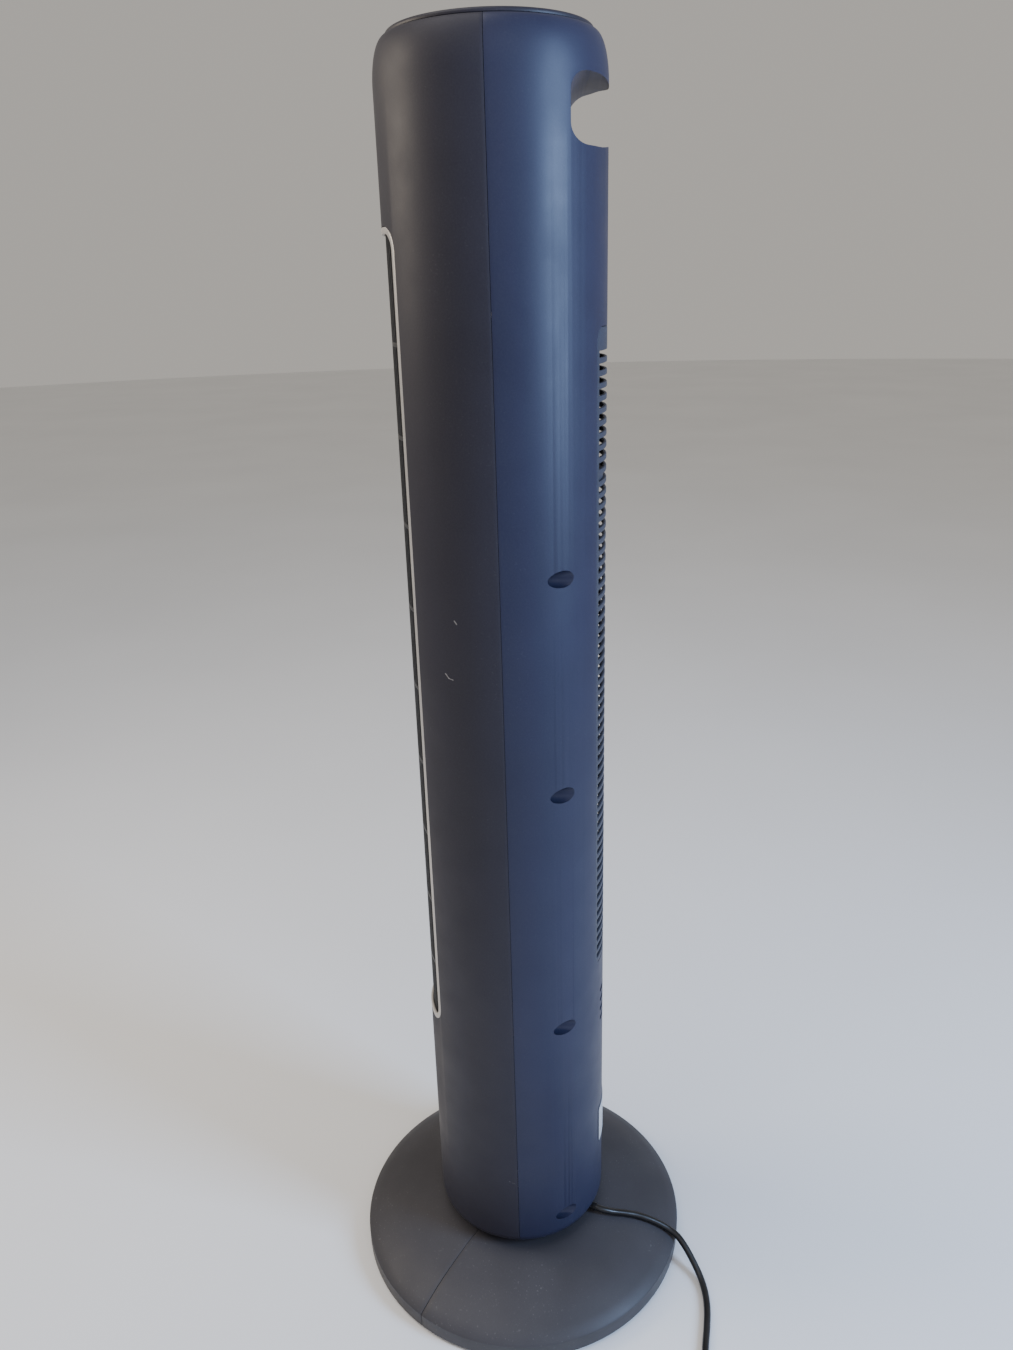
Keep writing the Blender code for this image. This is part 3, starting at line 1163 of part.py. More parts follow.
def make_motors_and_boards():
    """The fan motor, the swing motor, the power board and the run capacitor."""
    bore = SHAFT_RADIUS + TOUCH_GAP
    top = MOTOR_PLATE_BOTTOM - TOUCH_GAP
    turned("fan_motor", [
        (bore, top), (FAN_MOTOR_RADIUS - 0.0030, top), (FAN_MOTOR_RADIUS, top - 0.0030),
        (FAN_MOTOR_RADIUS, FAN_MOTOR_BOTTOM + 0.0030), (FAN_MOTOR_RADIUS - 0.0030, FAN_MOTOR_BOTTOM),
        (FAN_MOTOR_BELL_RADIUS, FAN_MOTOR_BOTTOM),
        (FAN_MOTOR_BELL_RADIUS, FAN_MOTOR_BOTTOM - FAN_MOTOR_BELL_HEIGHT),
        (bore, FAN_MOTOR_BOTTOM - FAN_MOTOR_BELL_HEIGHT),
    ], SMALL_STEPS * 2, MOTOR_FINISH)
    can_middle = deck_top + TOUCH_GAP + SWING_MOTOR_HEIGHT / 2.0
    prism("swing_motor", [
        circle_outline(SWING_MOTOR_RADIUS, SMALL_STEPS * 2, swing_motor_axis.xy),
        circle_outline(PINION_SHAFT_RADIUS + 2.0 * TOUCH_GAP, SMALL_STEPS, pinion_axis.xy),
    ], SWING_MOTOR_HEIGHT, Matrix.Translation((0.0, 0.0, can_middle)), MOTOR_FINISH)

    width, height = POWER_BOARD_SIZE
    board_back = POWER_BOARD_Y + BOARD_THICKNESS
    board = boxes("power_board", [
        ((-width / 2.0, POWER_BOARD_Y, POWER_BOARD_BOTTOM),
         (width / 2.0, board_back, POWER_BOARD_BOTTOM + height)),
    ], BOARD_FINISH)
    bury = BOARD_THICKNESS / 2.0
    mounted = boxes("board_components", [
        ((-0.0220, POWER_BOARD_Y - 0.0180, POWER_BOARD_BOTTOM + 0.0080),
         (0.0060, POWER_BOARD_Y + bury, POWER_BOARD_BOTTOM + 0.0320)),
        ((0.0100, POWER_BOARD_Y - 0.0120, POWER_BOARD_BOTTOM + 0.0060),
         (0.0250, POWER_BOARD_Y + bury, POWER_BOARD_BOTTOM + 0.0240)),
    ])
    boolean(board, mounted, "UNION")
    case_width, case_depth, case_height = CAPACITOR_SIZE
    boxes("run_capacitor", [
        ((-case_width / 2.0, POWER_BOARD_Y - TOUCH_GAP - case_depth, CAPACITOR_BOTTOM),
         (case_width / 2.0, POWER_BOARD_Y - TOUCH_GAP, CAPACITOR_BOTTOM + case_height)),
    ], CAPACITOR_FINISH)


# ---------------------------------------------------------------- mains lead

def smooth_route(points, count):
    """Evenly spaced points on the smooth curve through the hand-chosen ones."""
    points = [Vector(point) for point in points]
    padded = [2.0 * points[0] - points[1], *points, 2.0 * points[-1] - points[-2]]
    fine = []
    for number in range(1, len(padded) - 2):
        before, start, end, after = padded[number - 1:number + 3]
        for step in range(20):
            t = step / 20.0
            fine.append(0.5 * (
                2.0 * start + (end - before) * t
                + (2.0 * before - 5.0 * start + 4.0 * end - after) * t ** 2
                + (3.0 * start - before - 3.0 * end + after) * t ** 3
            ))
    fine.append(points[-1])
    along = [0.0]
    for start, end in zip(fine, fine[1:]):
        along.append(along[-1] + (end - start).length)
    spaced = []
    place = 0
    for number in range(count):
        wanted = along[-1] * number / (count - 1)
        while place < len(fine) - 2 and along[place + 1] < wanted:
            place += 1
        share = (wanted - along[place]) / (along[place + 1] - along[place])
        spaced.append(fine[place].lerp(fine[place + 1], share))
    return spaced


def make_lead():
    """The strain relief, the lead's free run, its coil and the plug that lies on the coil."""
    cylinders("cord_relief", [
        (polar(RELIEF_INNER, RELIEF_AZIMUTH, RELIEF_HEIGHT),
         polar(RELIEF_OUTER, RELIEF_AZIMUTH, RELIEF_HEIGHT),
         RELIEF_INNER_RADIUS, RELIEF_OUTER_RADIUS),
    ], RUBBER_FINISH)

    curve = bpy.data.curves.new("power_cord", "CURVE")
    curve.dimensions = "3D"
    curve.bevel_depth = CORD_RADIUS
    curve.bevel_resolution = 2
    curve.use_fill_caps = True
    spline = curve.splines.new("POLY")
    route = smooth_route(CORD_ROUTE, CORD_POINTS)
    spline.points.add(len(route) - 1)
    for point, place in zip(spline.points, route):
        point.co = (*place, 1.0)
    add_object("power_cord", curve, CORD_FINISH)

    half = COIL_BUNDLE_WIDTH / 2.0
    bevel = CORD_RADIUS
    low, high = 0.0002, COIL_HEIGHT
    turned("cord_coil", [
        (COIL_MEAN_RADIUS - half + bevel, high), (COIL_MEAN_RADIUS + half - bevel, high),
        (COIL_MEAN_RADIUS + half, high - bevel), (COIL_MEAN_RADIUS + half, low + bevel),
        (COIL_MEAN_RADIUS + half - bevel, low), (COIL_MEAN_RADIUS - half + bevel, low),
        (COIL_MEAN_RADIUS - half, low + bevel), (COIL_MEAN_RADIUS - half, high - bevel),
    ], PLATE_STEPS, CORD_FINISH, (*COIL_CENTRE, 0.0))

    length, width, height = PLUG_SIZE
    blade_length, blade_thickness, blade_width = PLUG_BLADE
    plug = boxes("plug", [
        ((-length / 2.0, -width / 2.0, 0.0), (length / 2.0, width / 2.0, height)),
    ], CORD_FINISH)
    blades = boxes("plug_blades", [
        ((length / 2.0 - 0.002, side * PLUG_BLADE_SPACING / 2.0 - blade_thickness / 2.0,
          height / 2.0 - blade_width / 2.0),
         (length / 2.0 + blade_length, side * PLUG_BLADE_SPACING / 2.0 + blade_thickness / 2.0,
          height / 2.0 + blade_width / 2.0))
        for side in (-1.0, 1.0)
    ])
    boolean(plug, blades, "UNION")
    centre = Vector((*COIL_CENTRE, COIL_HEIGHT + TOUCH_GAP)) + polar(
        COIL_MEAN_RADIUS - 0.004, PLUG_AZIMUTH - math.pi / 2.0)
    for piece in (plug, blades):
        piece.rotation_euler = (0.0, 0.0, PLUG_AZIMUTH)
        piece.location = centre


# ---------------------------------------------------------------- assembly

column_core = turned(
    "column_core",
    [(0.0, SHELL_TOP - CORE_INSET)] + shell_line(CORE_INSET)
    + [(0.0, SHELL_BOTTOM + CORE_INSET)],
    ROUND_STEPS,
)
make_base()
make_swivel()
make_shells(column_core)
make_shell_screws()
make_outlet()
make_inlet()
make_label()
make_top()
make_air_guides()
make_impeller()
make_supports()
make_motors_and_boards()
make_lead()
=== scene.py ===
"""The looks of an oscillating tower fan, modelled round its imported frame.

The frame gives every place and main size. The covers, the outlet and inlet grilles, the base,
the top panel and the mains lead are modelled here in finer form than the frame's own solids,
and the pieces inside keep the frame's solids and get a finish.
"""

import logging
import math
from collections.abc import Callable, Iterable, Sequence
from dataclasses import dataclass, field
from enum import Enum

import bpy
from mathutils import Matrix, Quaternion, Vector

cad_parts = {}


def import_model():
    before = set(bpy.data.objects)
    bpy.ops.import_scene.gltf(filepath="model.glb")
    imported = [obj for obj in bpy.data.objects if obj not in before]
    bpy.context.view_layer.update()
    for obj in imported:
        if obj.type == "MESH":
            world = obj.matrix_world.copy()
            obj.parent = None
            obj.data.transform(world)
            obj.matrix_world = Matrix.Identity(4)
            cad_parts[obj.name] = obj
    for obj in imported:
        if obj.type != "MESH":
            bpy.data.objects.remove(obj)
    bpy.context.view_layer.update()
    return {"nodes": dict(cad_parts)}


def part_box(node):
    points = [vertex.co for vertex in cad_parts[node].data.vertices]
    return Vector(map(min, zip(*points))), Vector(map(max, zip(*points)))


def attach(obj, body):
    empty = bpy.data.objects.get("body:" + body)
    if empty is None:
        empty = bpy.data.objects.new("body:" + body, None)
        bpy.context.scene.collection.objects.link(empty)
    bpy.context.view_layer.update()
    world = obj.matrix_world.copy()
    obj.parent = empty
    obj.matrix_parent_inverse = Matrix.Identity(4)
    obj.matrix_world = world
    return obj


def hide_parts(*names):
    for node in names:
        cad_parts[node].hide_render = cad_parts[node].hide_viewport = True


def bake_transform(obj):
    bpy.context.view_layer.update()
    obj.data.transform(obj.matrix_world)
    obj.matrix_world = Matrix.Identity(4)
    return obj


log = logging.getLogger("tower_fan")

Outline = Sequence[tuple[float, float]]
Colour = tuple[float, float, float]

ACROSS = (1.0, 0.0, 0.0)
UPWARD = (0.0, 0.0, 1.0)

MERGE = 0.000001            # points nearer than this become one
CUT_PAST = 0.004            # cutters run this far past a wall
SEAM = 0.0003               # between covers that meet edge to edge
TOUCH = 0.0003              # between pieces that rest on each other


class Body(Enum):
    """The bodies that pieces ride on."""

    STAND = "root"
    COLUMN = "column"
    WHEEL = "impeller"
    PINION = "swing_pinion"


# ---------------------------------------------------------------- modelling steps

def arc(centre: tuple[float, float], radii: tuple[float, float], first: float, last: float,
        steps: int) -> list[tuple[float, float]]:
    """Points on an ellipse's arc.

    Args:
        centre: Middle of the ellipse, as (radius, height).
        radii: Half width and half height.
        first: First angle, in degrees.
        last: Last angle, in degrees.
        steps: Number of chords.

    Returns:
        The points, both ends included.
    """
    angles = [math.radians(first + (last - first) * step / steps) for step in range(steps + 1)]
    return [
        (centre[0] + radii[0] * math.cos(angle), centre[1] + radii[1] * math.sin(angle))
        for angle in angles
    ]


def polar(radius: float, azimuth: float, height: float = 0.0) -> Vector:
    """A point at a radius and an azimuth in radians."""
    return Vector((radius * math.cos(azimuth), radius * math.sin(azimuth), height))


def smoothstep(share: float) -> float:
    """An even start and stop between 0 and 1."""
    share = min(max(share, 0.0), 1.0)
    return share * share * (3.0 - 2.0 * share)


def middle_of(node: str) -> Vector:
    """The middle of a frame solid's box."""
    low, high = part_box(node)
    return (low + high) / 2.0


def even_lines(half: float, parts: int) -> list[float]:
    """Distances that cut each half of a sheet into equal parts, its edges left out."""
    return [half * step / parts for step in range(1 - parts, parts)]


def tinted(colour: Colour, share: float) -> Colour:
    """A colour with each part multiplied by a share."""
    return tuple(part * share for part in colour)


class Bench:
    """The steps that every piece is made with."""

    @staticmethod
    def idle() -> None:
        """Leave edit mode with nothing selected."""
        if bpy.context.mode != "OBJECT":
            bpy.ops.object.mode_set(mode="OBJECT")
        bpy.ops.object.select_all(action="DESELECT")

    @staticmethod
    def pick(piece: bpy.types.Object) -> None:
        """Select one piece alone and make it active."""
        Bench.idle()
        piece.select_set(True)
        bpy.context.view_layer.objects.active = piece

    @staticmethod
    def edit(piece: bpy.types.Object, whole: bool = True) -> None:
        """Enter edit mode on a piece, with all of it or none of it selected."""
        Bench.pick(piece)
        bpy.ops.object.mode_set(mode="EDIT")
        bpy.ops.mesh.select_all(action="SELECT" if whole else "DESELECT")

    @staticmethod
    def named(name: str) -> bpy.types.Object:
        """Name the active piece and its mesh."""
        piece = bpy.context.active_object
        piece.name = name
        piece.data.name = name
        return piece

    @staticmethod
    def settle(piece: bpy.types.Object) -> bpy.types.Object:
        """Put a piece's place and turn into its mesh."""
        Bench.pick(piece)
        bpy.ops.object.transform_apply(location=True, rotation=True, scale=True)
        return piece

    @staticmethod
    def mend(piece: bpy.types.Object) -> bpy.types.Object:
        """Merge doubles and face the surface outwards."""
        Bench.edit(piece)
        bpy.ops.mesh.remove_doubles(threshold=MERGE)
        bpy.ops.mesh.normals_make_consistent(inside=False)
        bpy.ops.object.mode_set(mode="OBJECT")
        return piece

    @staticmethod
    def chain(name: str, points: Sequence[Vector]) -> bpy.types.Object:
        """Draw a chain of points, each one extruded from the last.

        Args:
            name: Name of the piece.
            points: Where the points lie.

        Returns:
            The piece, left in edit mode.
        """
        Bench.idle()
        bpy.ops.mesh.primitive_plane_add(size=0.001, location=points[0])
        piece = Bench.named(name)
        bpy.ops.object.mode_set(mode="EDIT")
        bpy.ops.mesh.select_all(action="SELECT")
        bpy.ops.mesh.merge(type="CENTER")
        for before, after in zip(points, points[1:]):
            bpy.ops.mesh.extrude_vertices_move(TRANSFORM_OT_translate={"value": after - before})
        return piece

    @staticmethod
    def turned(name: str, outline: Outline, steps: int, closed: bool = True, start: float = 0.0,
               sweep: float = math.tau) -> bpy.types.Object:
        """Spin an outline about Z.

        Args:
            name: Name of the piece.
            outline: Points of (radius, height).
            steps: Number of steps in the sweep.
            closed: Whether the last point joins the first; otherwise both lie on the axis.
            start: Azimuth where the sweep starts, in radians.
            sweep: How far it turns anticlockwise, in radians.

        Returns:
            A closed solid.
        """
        piece = Bench.chain(name, [polar(radius, start, height) for radius, height in outline])
        bpy.ops.mesh.select_all(action="SELECT")
        if closed:
            bpy.ops.mesh.edge_face_add()
            if sweep == math.tau:
                bpy.ops.mesh.delete(type="ONLY_FACE")
                bpy.ops.mesh.select_all(action="SELECT")
        # the spin runs clockwise for a positive angle
        bpy.ops.mesh.spin(steps=steps, angle=-sweep, center=(0.0, 0.0, 0.0), axis=UPWARD)
        Bench.mend(piece)
        return Bench.settle(piece)

    @staticmethod
    def block(name: str, low: Sequence[float], high: Sequence[float]) -> bpy.types.Object:
        """A box between two corners, ready to be shaped."""
        low, high = Vector(low), Vector(high)
        Bench.idle()
        bpy.ops.mesh.primitive_cube_add(size=1.0, location=(low + high) / 2.0, scale=high - low)
        return Bench.settle(Bench.named(name))

    @staticmethod
    def rod(name: str, start: Sequence[float], end: Sequence[float], radius: float,
            sides: int = 32) -> bpy.types.Object:
        """A cylinder between two points, ready to be shaped."""
        start, end = Vector(start), Vector(end)
        along = end - start
        Bench.idle()
        bpy.ops.mesh.primitive_cylinder_add(
            vertices=sides, radius=radius, depth=along.length, location=(start + end) / 2.0,
            rotation=along.to_track_quat("Z", "Y").to_euler(),
        )
        return Bench.settle(Bench.named(name))

    @staticmethod
    def plate(name: str, half_width: float, low: float, high: float, corner: float,
              rounding: int = 8) -> bpy.types.Object:
        """An upright sheet with round corners, in the plane Y = 0 and facing -Y.

        Args:
            name: Name of the piece.
            half_width: Half its size along X.
            low: Height of its bottom edge.
            high: Height of its top edge.
            corner: Corner radius.
            rounding: Chords in each corner.

        Returns:
            One flat face.
        """
        Bench.idle()
        bpy.ops.mesh.primitive_plane_add(
            size=1.0, location=(0.0, 0.0, (low + high) / 2.0), rotation=(math.pi / 2.0, 0.0, 0.0),
        )
        piece = Bench.named(name)
        piece.scale = (2.0 * half_width, high - low, 1.0)
        Bench.settle(piece)
        Bench.edit(piece)
        bpy.ops.mesh.bevel(offset=corner, affect="VERTICES", segments=rounding)
        bpy.ops.object.mode_set(mode="OBJECT")
        return piece

    @staticmethod
    def rule(piece: bpy.types.Object, lines: Iterable[float], axis: Sequence[float]) -> None:
        """Cut a sheet along straight lines, each at a distance along an axis."""
        Bench.edit(piece)
        normal = Vector(axis)
        for distance in lines:
            bpy.ops.mesh.select_all(action="SELECT")
            bpy.ops.mesh.bisect(plane_co=normal * distance, plane_no=normal)
        bpy.ops.object.mode_set(mode="OBJECT")

    @staticmethod
    def drop_faces(piece: bpy.types.Object, chosen: Callable[[Vector], bool]) -> None:
        """Delete the faces whose middle is chosen."""
        Bench.edit(piece, whole=False)
        bpy.ops.mesh.select_mode(type="FACE")
        bpy.ops.object.mode_set(mode="OBJECT")
        for face in piece.data.polygons:
            face.select = chosen(face.center)
        bpy.ops.object.mode_set(mode="EDIT")
        bpy.ops.mesh.delete(type="FACE")
        bpy.ops.mesh.select_mode(type="VERT")
        bpy.ops.object.mode_set(mode="OBJECT")

    @staticmethod
    def finish_with(piece: bpy.types.Object, kind: str, **settings: object) -> bpy.types.Object:
        """Add one modifier, set it and apply it."""
        Bench.pick(piece)
        step = piece.modifiers.new("step", kind)
        for key, value in settings.items():
            setattr(step, key, value)
        bpy.ops.object.modifier_apply(modifier=step.name)
        return piece

    @staticmethod
    def thicken(piece: bpy.types.Object, depth: float) -> bpy.types.Object:
        """Give a sheet depth behind its face."""
        return Bench.finish_with(piece, "SOLIDIFY", thickness=depth, offset=-1.0)

    @staticmethod
    def soften(piece: bpy.types.Object, width: float, segments: int = 2,
               angle: float = 40.0) -> bpy.types.Object:
        """Round every edge sharper than an angle in degrees."""
        return Bench.finish_with(
            piece, "BEVEL", width=width, segments=segments, limit_method="ANGLE",
            angle_limit=math.radians(angle), use_clamp_overlap=True, miter_outer="MITER_ARC",
        )

    @staticmethod
    def cut(piece: bpy.types.Object, other: bpy.types.Object,
            operation: str = "DIFFERENCE") -> bpy.types.Object:
        """Combine a piece with another one, which is used up."""
        Bench.finish_with(piece, "BOOLEAN", object=other, operation=operation, solver="EXACT")
        bpy.data.objects.remove(other, do_unlink=True)
        return piece

    @staticmethod
    def join(name: str, pieces: Sequence[bpy.types.Object]) -> bpy.types.Object:
        """Join several pieces into one."""
        Bench.idle()
        for piece in pieces:
            piece.select_set(True)
        bpy.context.view_layer.objects.active = pieces[0]
        if len(pieces) > 1:
            bpy.ops.object.join()
        return Bench.named(name)

    @staticmethod
    def copy(piece: bpy.types.Object, name: str, shift: Sequence[float]) -> bpy.types.Object:
        """Copy a piece with its own mesh, and move the copy."""
        made = piece.copy()
        made.data = piece.data.copy()
        bpy.context.scene.collection.objects.link(made)
        made.name = name
        made.data.name = name
        made.location = Vector(shift)
        return Bench.settle(made)

    @staticmethod
    def bend_round(piece: bpy.types.Object, radius: float, to_rear: bool) -> bpy.types.Object:
        """Bend a flat upright piece round the column.

        Args:
            piece: A piece whose outer face lies in Y = 0 and faces -Y.
            radius: Radius of its outer face once bent.
            to_rear: Whether it goes on the +Y side instead of the -Y side.

        Returns:
            The piece in its place.
        """
        across = [point.co.x for point in piece.data.vertices]
        Bench.finish_with(
            piece, "SIMPLE_DEFORM", deform_method="BEND", deform_axis="Z",
            angle=(max(across) - min(across)) / radius,
        )
        Bench.edit(piece)
        bpy.ops.transform.translate(value=(0.0, -radius, 0.0))
        bpy.ops.object.mode_set(mode="OBJECT")
        if to_rear:
            piece.rotation_euler = (0.0, 0.0, math.pi)
        return Bench.settle(piece)

    @staticmethod
    def round_edges(piece: bpy.types.Object, chosen: Callable[[Vector], bool], width: float,
                    segments: int = 2, angle: float = 35.0) -> bpy.types.Object:
        """Round the sharp edges whose two ends are chosen.

        Args:
            piece: A closed piece.
            chosen: Says whether a point belongs to the edges to round.
            width: Width of the rounding.
            segments: Chords in the rounding.
            angle: Least angle of a sharp edge, in degrees.

        Returns:
            The same piece.
        """
        Bench.edit(piece, whole=False)
        bpy.ops.mesh.select_mode(type="EDGE")
        bpy.ops.mesh.edges_select_sharp(sharpness=math.radians(angle))
        bpy.ops.object.mode_set(mode="OBJECT")
        mesh = piece.data
        picked = [chosen(point.co) for point in mesh.vertices]
        for edge in mesh.edges:
            edge.select = edge.select and all(picked[index] for index in edge.vertices)
        bpy.ops.object.mode_set(mode="EDIT")
        bpy.ops.mesh.bevel(offset=width, segments=segments, affect="EDGES", clamp_overlap=True)
        bpy.ops.mesh.select_mode(type="VERT")
        bpy.ops.object.mode_set(mode="OBJECT")
        return piece

    @staticmethod
    def shade(piece: bpy.types.Object, angle: float = 32.0) -> bpy.types.Object:
        """Shade a piece smooth, with its real edges kept."""
        Bench.pick(piece)
        bpy.ops.object.shade_smooth_by_angle(angle=math.radians(angle))
        return piece


# ---------------------------------------------------------------- finishes

class Shader:
    """One material while its nodes are laid out."""

    def __init__(self, name: str, **constants: object) -> None:
        """Start a material.

        Args:
            name: Name of the material.
            constants: Values for the shader's own sockets, with _ for a space.
        """
        self.material = bpy.data.materials.new(name)
        self.material.use_nodes = True
        self.nodes = self.material.node_tree.nodes
        self.links = self.material.node_tree.links
        self.principled = self.nodes["Principled BSDF"]
        self.place = self.nodes.new("ShaderNodeTexCoord").outputs["Object"]
        for key, value in constants.items():
            socket = self.principled.inputs[key.replace("_", " ")]
            socket.default_value = (*value, 1.0) if isinstance(value, tuple) else value

    def add(self, kind: str, inputs: dict, **settings: object) -> bpy.types.Node:
        """Add a node.

        Args:
            kind: Kind of node.
            inputs: What each input, by name or number, is set or linked to.
            settings: The node's own settings.

        Returns:
            The node.
        """
        node = self.nodes.new(kind)
        for key, value in settings.items():
            setattr(node, key, value)
        for key, value in inputs.items():
            if isinstance(value, bpy.types.NodeSocket):
                self.links.new(value, node.inputs[key])
            else:
                node.inputs[key].default_value = value
        return node

    def noise(self, scale: float, detail: float = 2.0,
              stretch: Sequence[float] = (1.0, 1.0, 1.0)) -> bpy.types.NodeSocket:
        """Noise from 0 to 1, with a scale along each axis."""
        place = self.add("ShaderNodeMapping", {"Vector": self.place, "Scale": stretch}).outputs[0]
        node = self.add("ShaderNodeTexNoise", {"Vector": place, "Scale": scale, "Detail": detail})
        return node.outputs["Fac"]

    def fit(self, value: bpy.types.NodeSocket, source: tuple[float, float],
            target: tuple[float, float]) -> bpy.types.NodeSocket:
        """Carry a value from one range to another, and clamp it."""
        node = self.add("ShaderNodeMapRange", {
            "Value": value, "From Min": source[0], "From Max": source[1],
            "To Min": target[0], "To Max": target[1],
        }, clamp=True)
        return node.outputs[0]

    def combine(self, operation: str, first: object, second: object) -> bpy.types.NodeSocket:
        """Work out one number from two."""
        return self.add("ShaderNodeMath", {0: first, 1: second}, operation=operation).outputs[0]

    def blend(self, share: object, first: object, second: object) -> bpy.types.NodeSocket:
        """Mix two colours, each three numbers or a socket, by a share of the second."""
        ends = [(*end, 1.0) if isinstance(end, tuple) else end for end in (first, second)]
        node = self.add("ShaderNodeMix", {0: share, 6: ends[0], 7: ends[1]}, data_type="RGBA")
        return node.outputs[2]

    def scratch(self, start: Sequence[float], end: Sequence[float],
                width: float) -> bpy.types.NodeSocket:
        """A mask, 1 on a thin line between two points and 0 away from it."""
        start, end = Vector(start), Vector(end)
        along = (end - start).normalized()
        wander = self.add("ShaderNodeTexNoise", {"Vector": self.place, "Scale": 160.0})
        shake = self.add("ShaderNodeVectorMath", {
            0: wander.outputs["Color"], 1: (0.5, 0.5, 0.5),
        }, operation="SUBTRACT")
        shake = self.add("ShaderNodeVectorMath", {
            0: shake.outputs[0], "Scale": 4.0 * width,
        }, operation="SCALE")
        place = self.add("ShaderNodeVectorMath", {
            0: self.place, 1: shake.outputs[0],
        }, operation="ADD")
        away = self.add("ShaderNodeVectorMath", {
            0: place.outputs[0], 1: start,
        }, operation="SUBTRACT")
        run = self.add("ShaderNodeVectorMath", {0: away.outputs[0], 1: along},
                       operation="DOT_PRODUCT")
        length = (end - start).length
        run = self.fit(run.outputs["Value"], (0.0, length), (0.0, length))
        foot = self.add("ShaderNodeVectorMath", {0: along, "Scale": run}, operation="SCALE")
        gap = self.add("ShaderNodeVectorMath", {
            0: away.outputs[0], 1: foot.outputs[0],
        }, operation="DISTANCE")
        return self.fit(gap.outputs["Value"], (0.3 * width, width), (1.0, 0.0))

    def relief(self, height: bpy.types.NodeSocket, depth: float,
               under: bpy.types.NodeSocket | None = None) -> bpy.types.NodeSocket:
        """Turn a height from 0 to 1 into a bump of a depth in metres."""
        inputs = {"Height": height, "Strength": 1.0, "Distance": depth}
        if under is not None:
            inputs["Normal"] = under
        return self.add("ShaderNodeBump", inputs).outputs[0]

    def use(self, socket: str, value: bpy.types.NodeSocket) -> None:
        """Link a value to one of the shader's sockets."""
        self.links.new(value, self.principled.inputs[socket])

    def roughen(self, pattern: bpy.types.NodeSocket, source: tuple[float, float],
                least: float, most: float) -> None:
        """Let a pattern carry the roughness from its least to its most."""
        self.use("Roughness", self.fit(pattern, source, (least, most)))


@dataclass(frozen=True)
class Scratch:
    """A light scratch between two points of a cover."""

    start: tuple[float, float, float]
    end: tuple[float, float, float]
    width: float = 0.0006
    strength: float = 0.5


@dataclass(frozen=True)
class MouldedPlastic:
    """Spark-textured plastic with mottling, dust and scratches."""

    name: str
    colour: Colour
    roughness: float = 0.5
    specular: float = 0.32
    grain_size: float = 0.0011
    grain_depth: float = 0.000012
    mottle: float = 0.10
    dust: float = 0.0
    dust_colour: Colour = (0.42, 0.41, 0.40)
    scratches: tuple[Scratch, ...] = ()

    def make(self) -> bpy.types.Material:
        """Lay out the finish.

        Returns:
            The material.
        """
        shader = Shader(self.name, Specular_IOR_Level=self.specular)
        cloudy = shader.noise(9.0, 3.0)
        grain = shader.noise(1.0 / self.grain_size, 2.0)
        dark, light = (tinted(self.colour, share)
                       for share in (1.0 - self.mottle, 1.0 + self.mottle))
        colour = shader.blend(shader.fit(cloudy, (0.3, 0.7), (0.0, 1.0)), dark, light)
        speckle = shader.fit(grain, (0.35, 0.75), (0.0, 0.012))
        colour = shader.blend(speckle, colour, self.dust_colour)
        if self.dust:
            specks = shader.fit(shader.noise(520.0, 1.0), (0.66, 0.74), (0.0, 1.0))
            drift = shader.fit(shader.noise(21.0, 3.0), (0.42, 0.70), (0.0, self.dust))
            film = shader.combine("MAXIMUM", shader.combine("MULTIPLY", specks, drift),
                                  shader.combine("MULTIPLY", drift, 0.12))
            colour = shader.blend(film, colour, self.dust_colour)
        for mark in self.scratches:
            mask = shader.combine("MULTIPLY", shader.scratch(mark.start, mark.end, mark.width),
                                  mark.strength)
            colour = shader.blend(mask, colour, self.dust_colour)
        shader.use("Base Color", colour)
        shader.roughen(shader.noise(34.0, 4.0), (0.25, 0.75),
                       self.roughness - 0.05, self.roughness + 0.06)
        wave = shader.relief(cloudy, 0.0002)
        shader.use("Normal", shader.relief(grain, self.grain_depth, wave))
        return shader.material


@dataclass(frozen=True)
class SatinTrim:
    """A smooth painted trim with faint flow marks and rubbed patches."""

    name: str
    colour: Colour
    roughness: float = 0.32
    metallic: float = 0.35

    def make(self) -> bpy.types.Material:
        """Lay out the finish and return it."""
        shader = Shader(self.name, Metallic=self.metallic)
        streaks = shader.noise(60.0, 3.0, (1.0, 1.0, 0.12))
        shader.use("Base Color", shader.blend(
            shader.fit(streaks, (0.35, 0.7), (0.0, 1.0)), self.colour, tinted(self.colour, 1.25),
        ))
        shader.roughen(streaks, (0.3, 0.7), self.roughness - 0.06, self.roughness + 0.08)
        shader.use("Normal", shader.relief(shader.noise(900.0), 0.000008))
        return shader.material


@dataclass(frozen=True)
class GlossPlastic:
    """Polished plastic with fine wiping marks and finger smudges."""

    name: str
    colour: Colour
    roughness: float = 0.12
    coat: float = 0.5

    def make(self) -> bpy.types.Material:
        """Lay out the finish and return it."""
        shader = Shader(self.name, Base_Color=self.colour, Coat_Weight=self.coat,
                        Coat_Roughness=0.08)
        smudge = shader.fit(shader.noise(38.0, 4.0), (0.45, 0.7), (0.0, 0.22))
        wiping = shader.fit(shader.noise(240.0, 2.0, (1.0, 0.06, 1.0)), (0.55, 0.8), (0.0, 0.10))
        rough = shader.combine("ADD", shader.combine("MAXIMUM", smudge, wiping), self.roughness)
        shader.use("Roughness", rough)
        shader.use("Normal", shader.relief(shader.noise(70.0), 0.00001))
        return shader.material


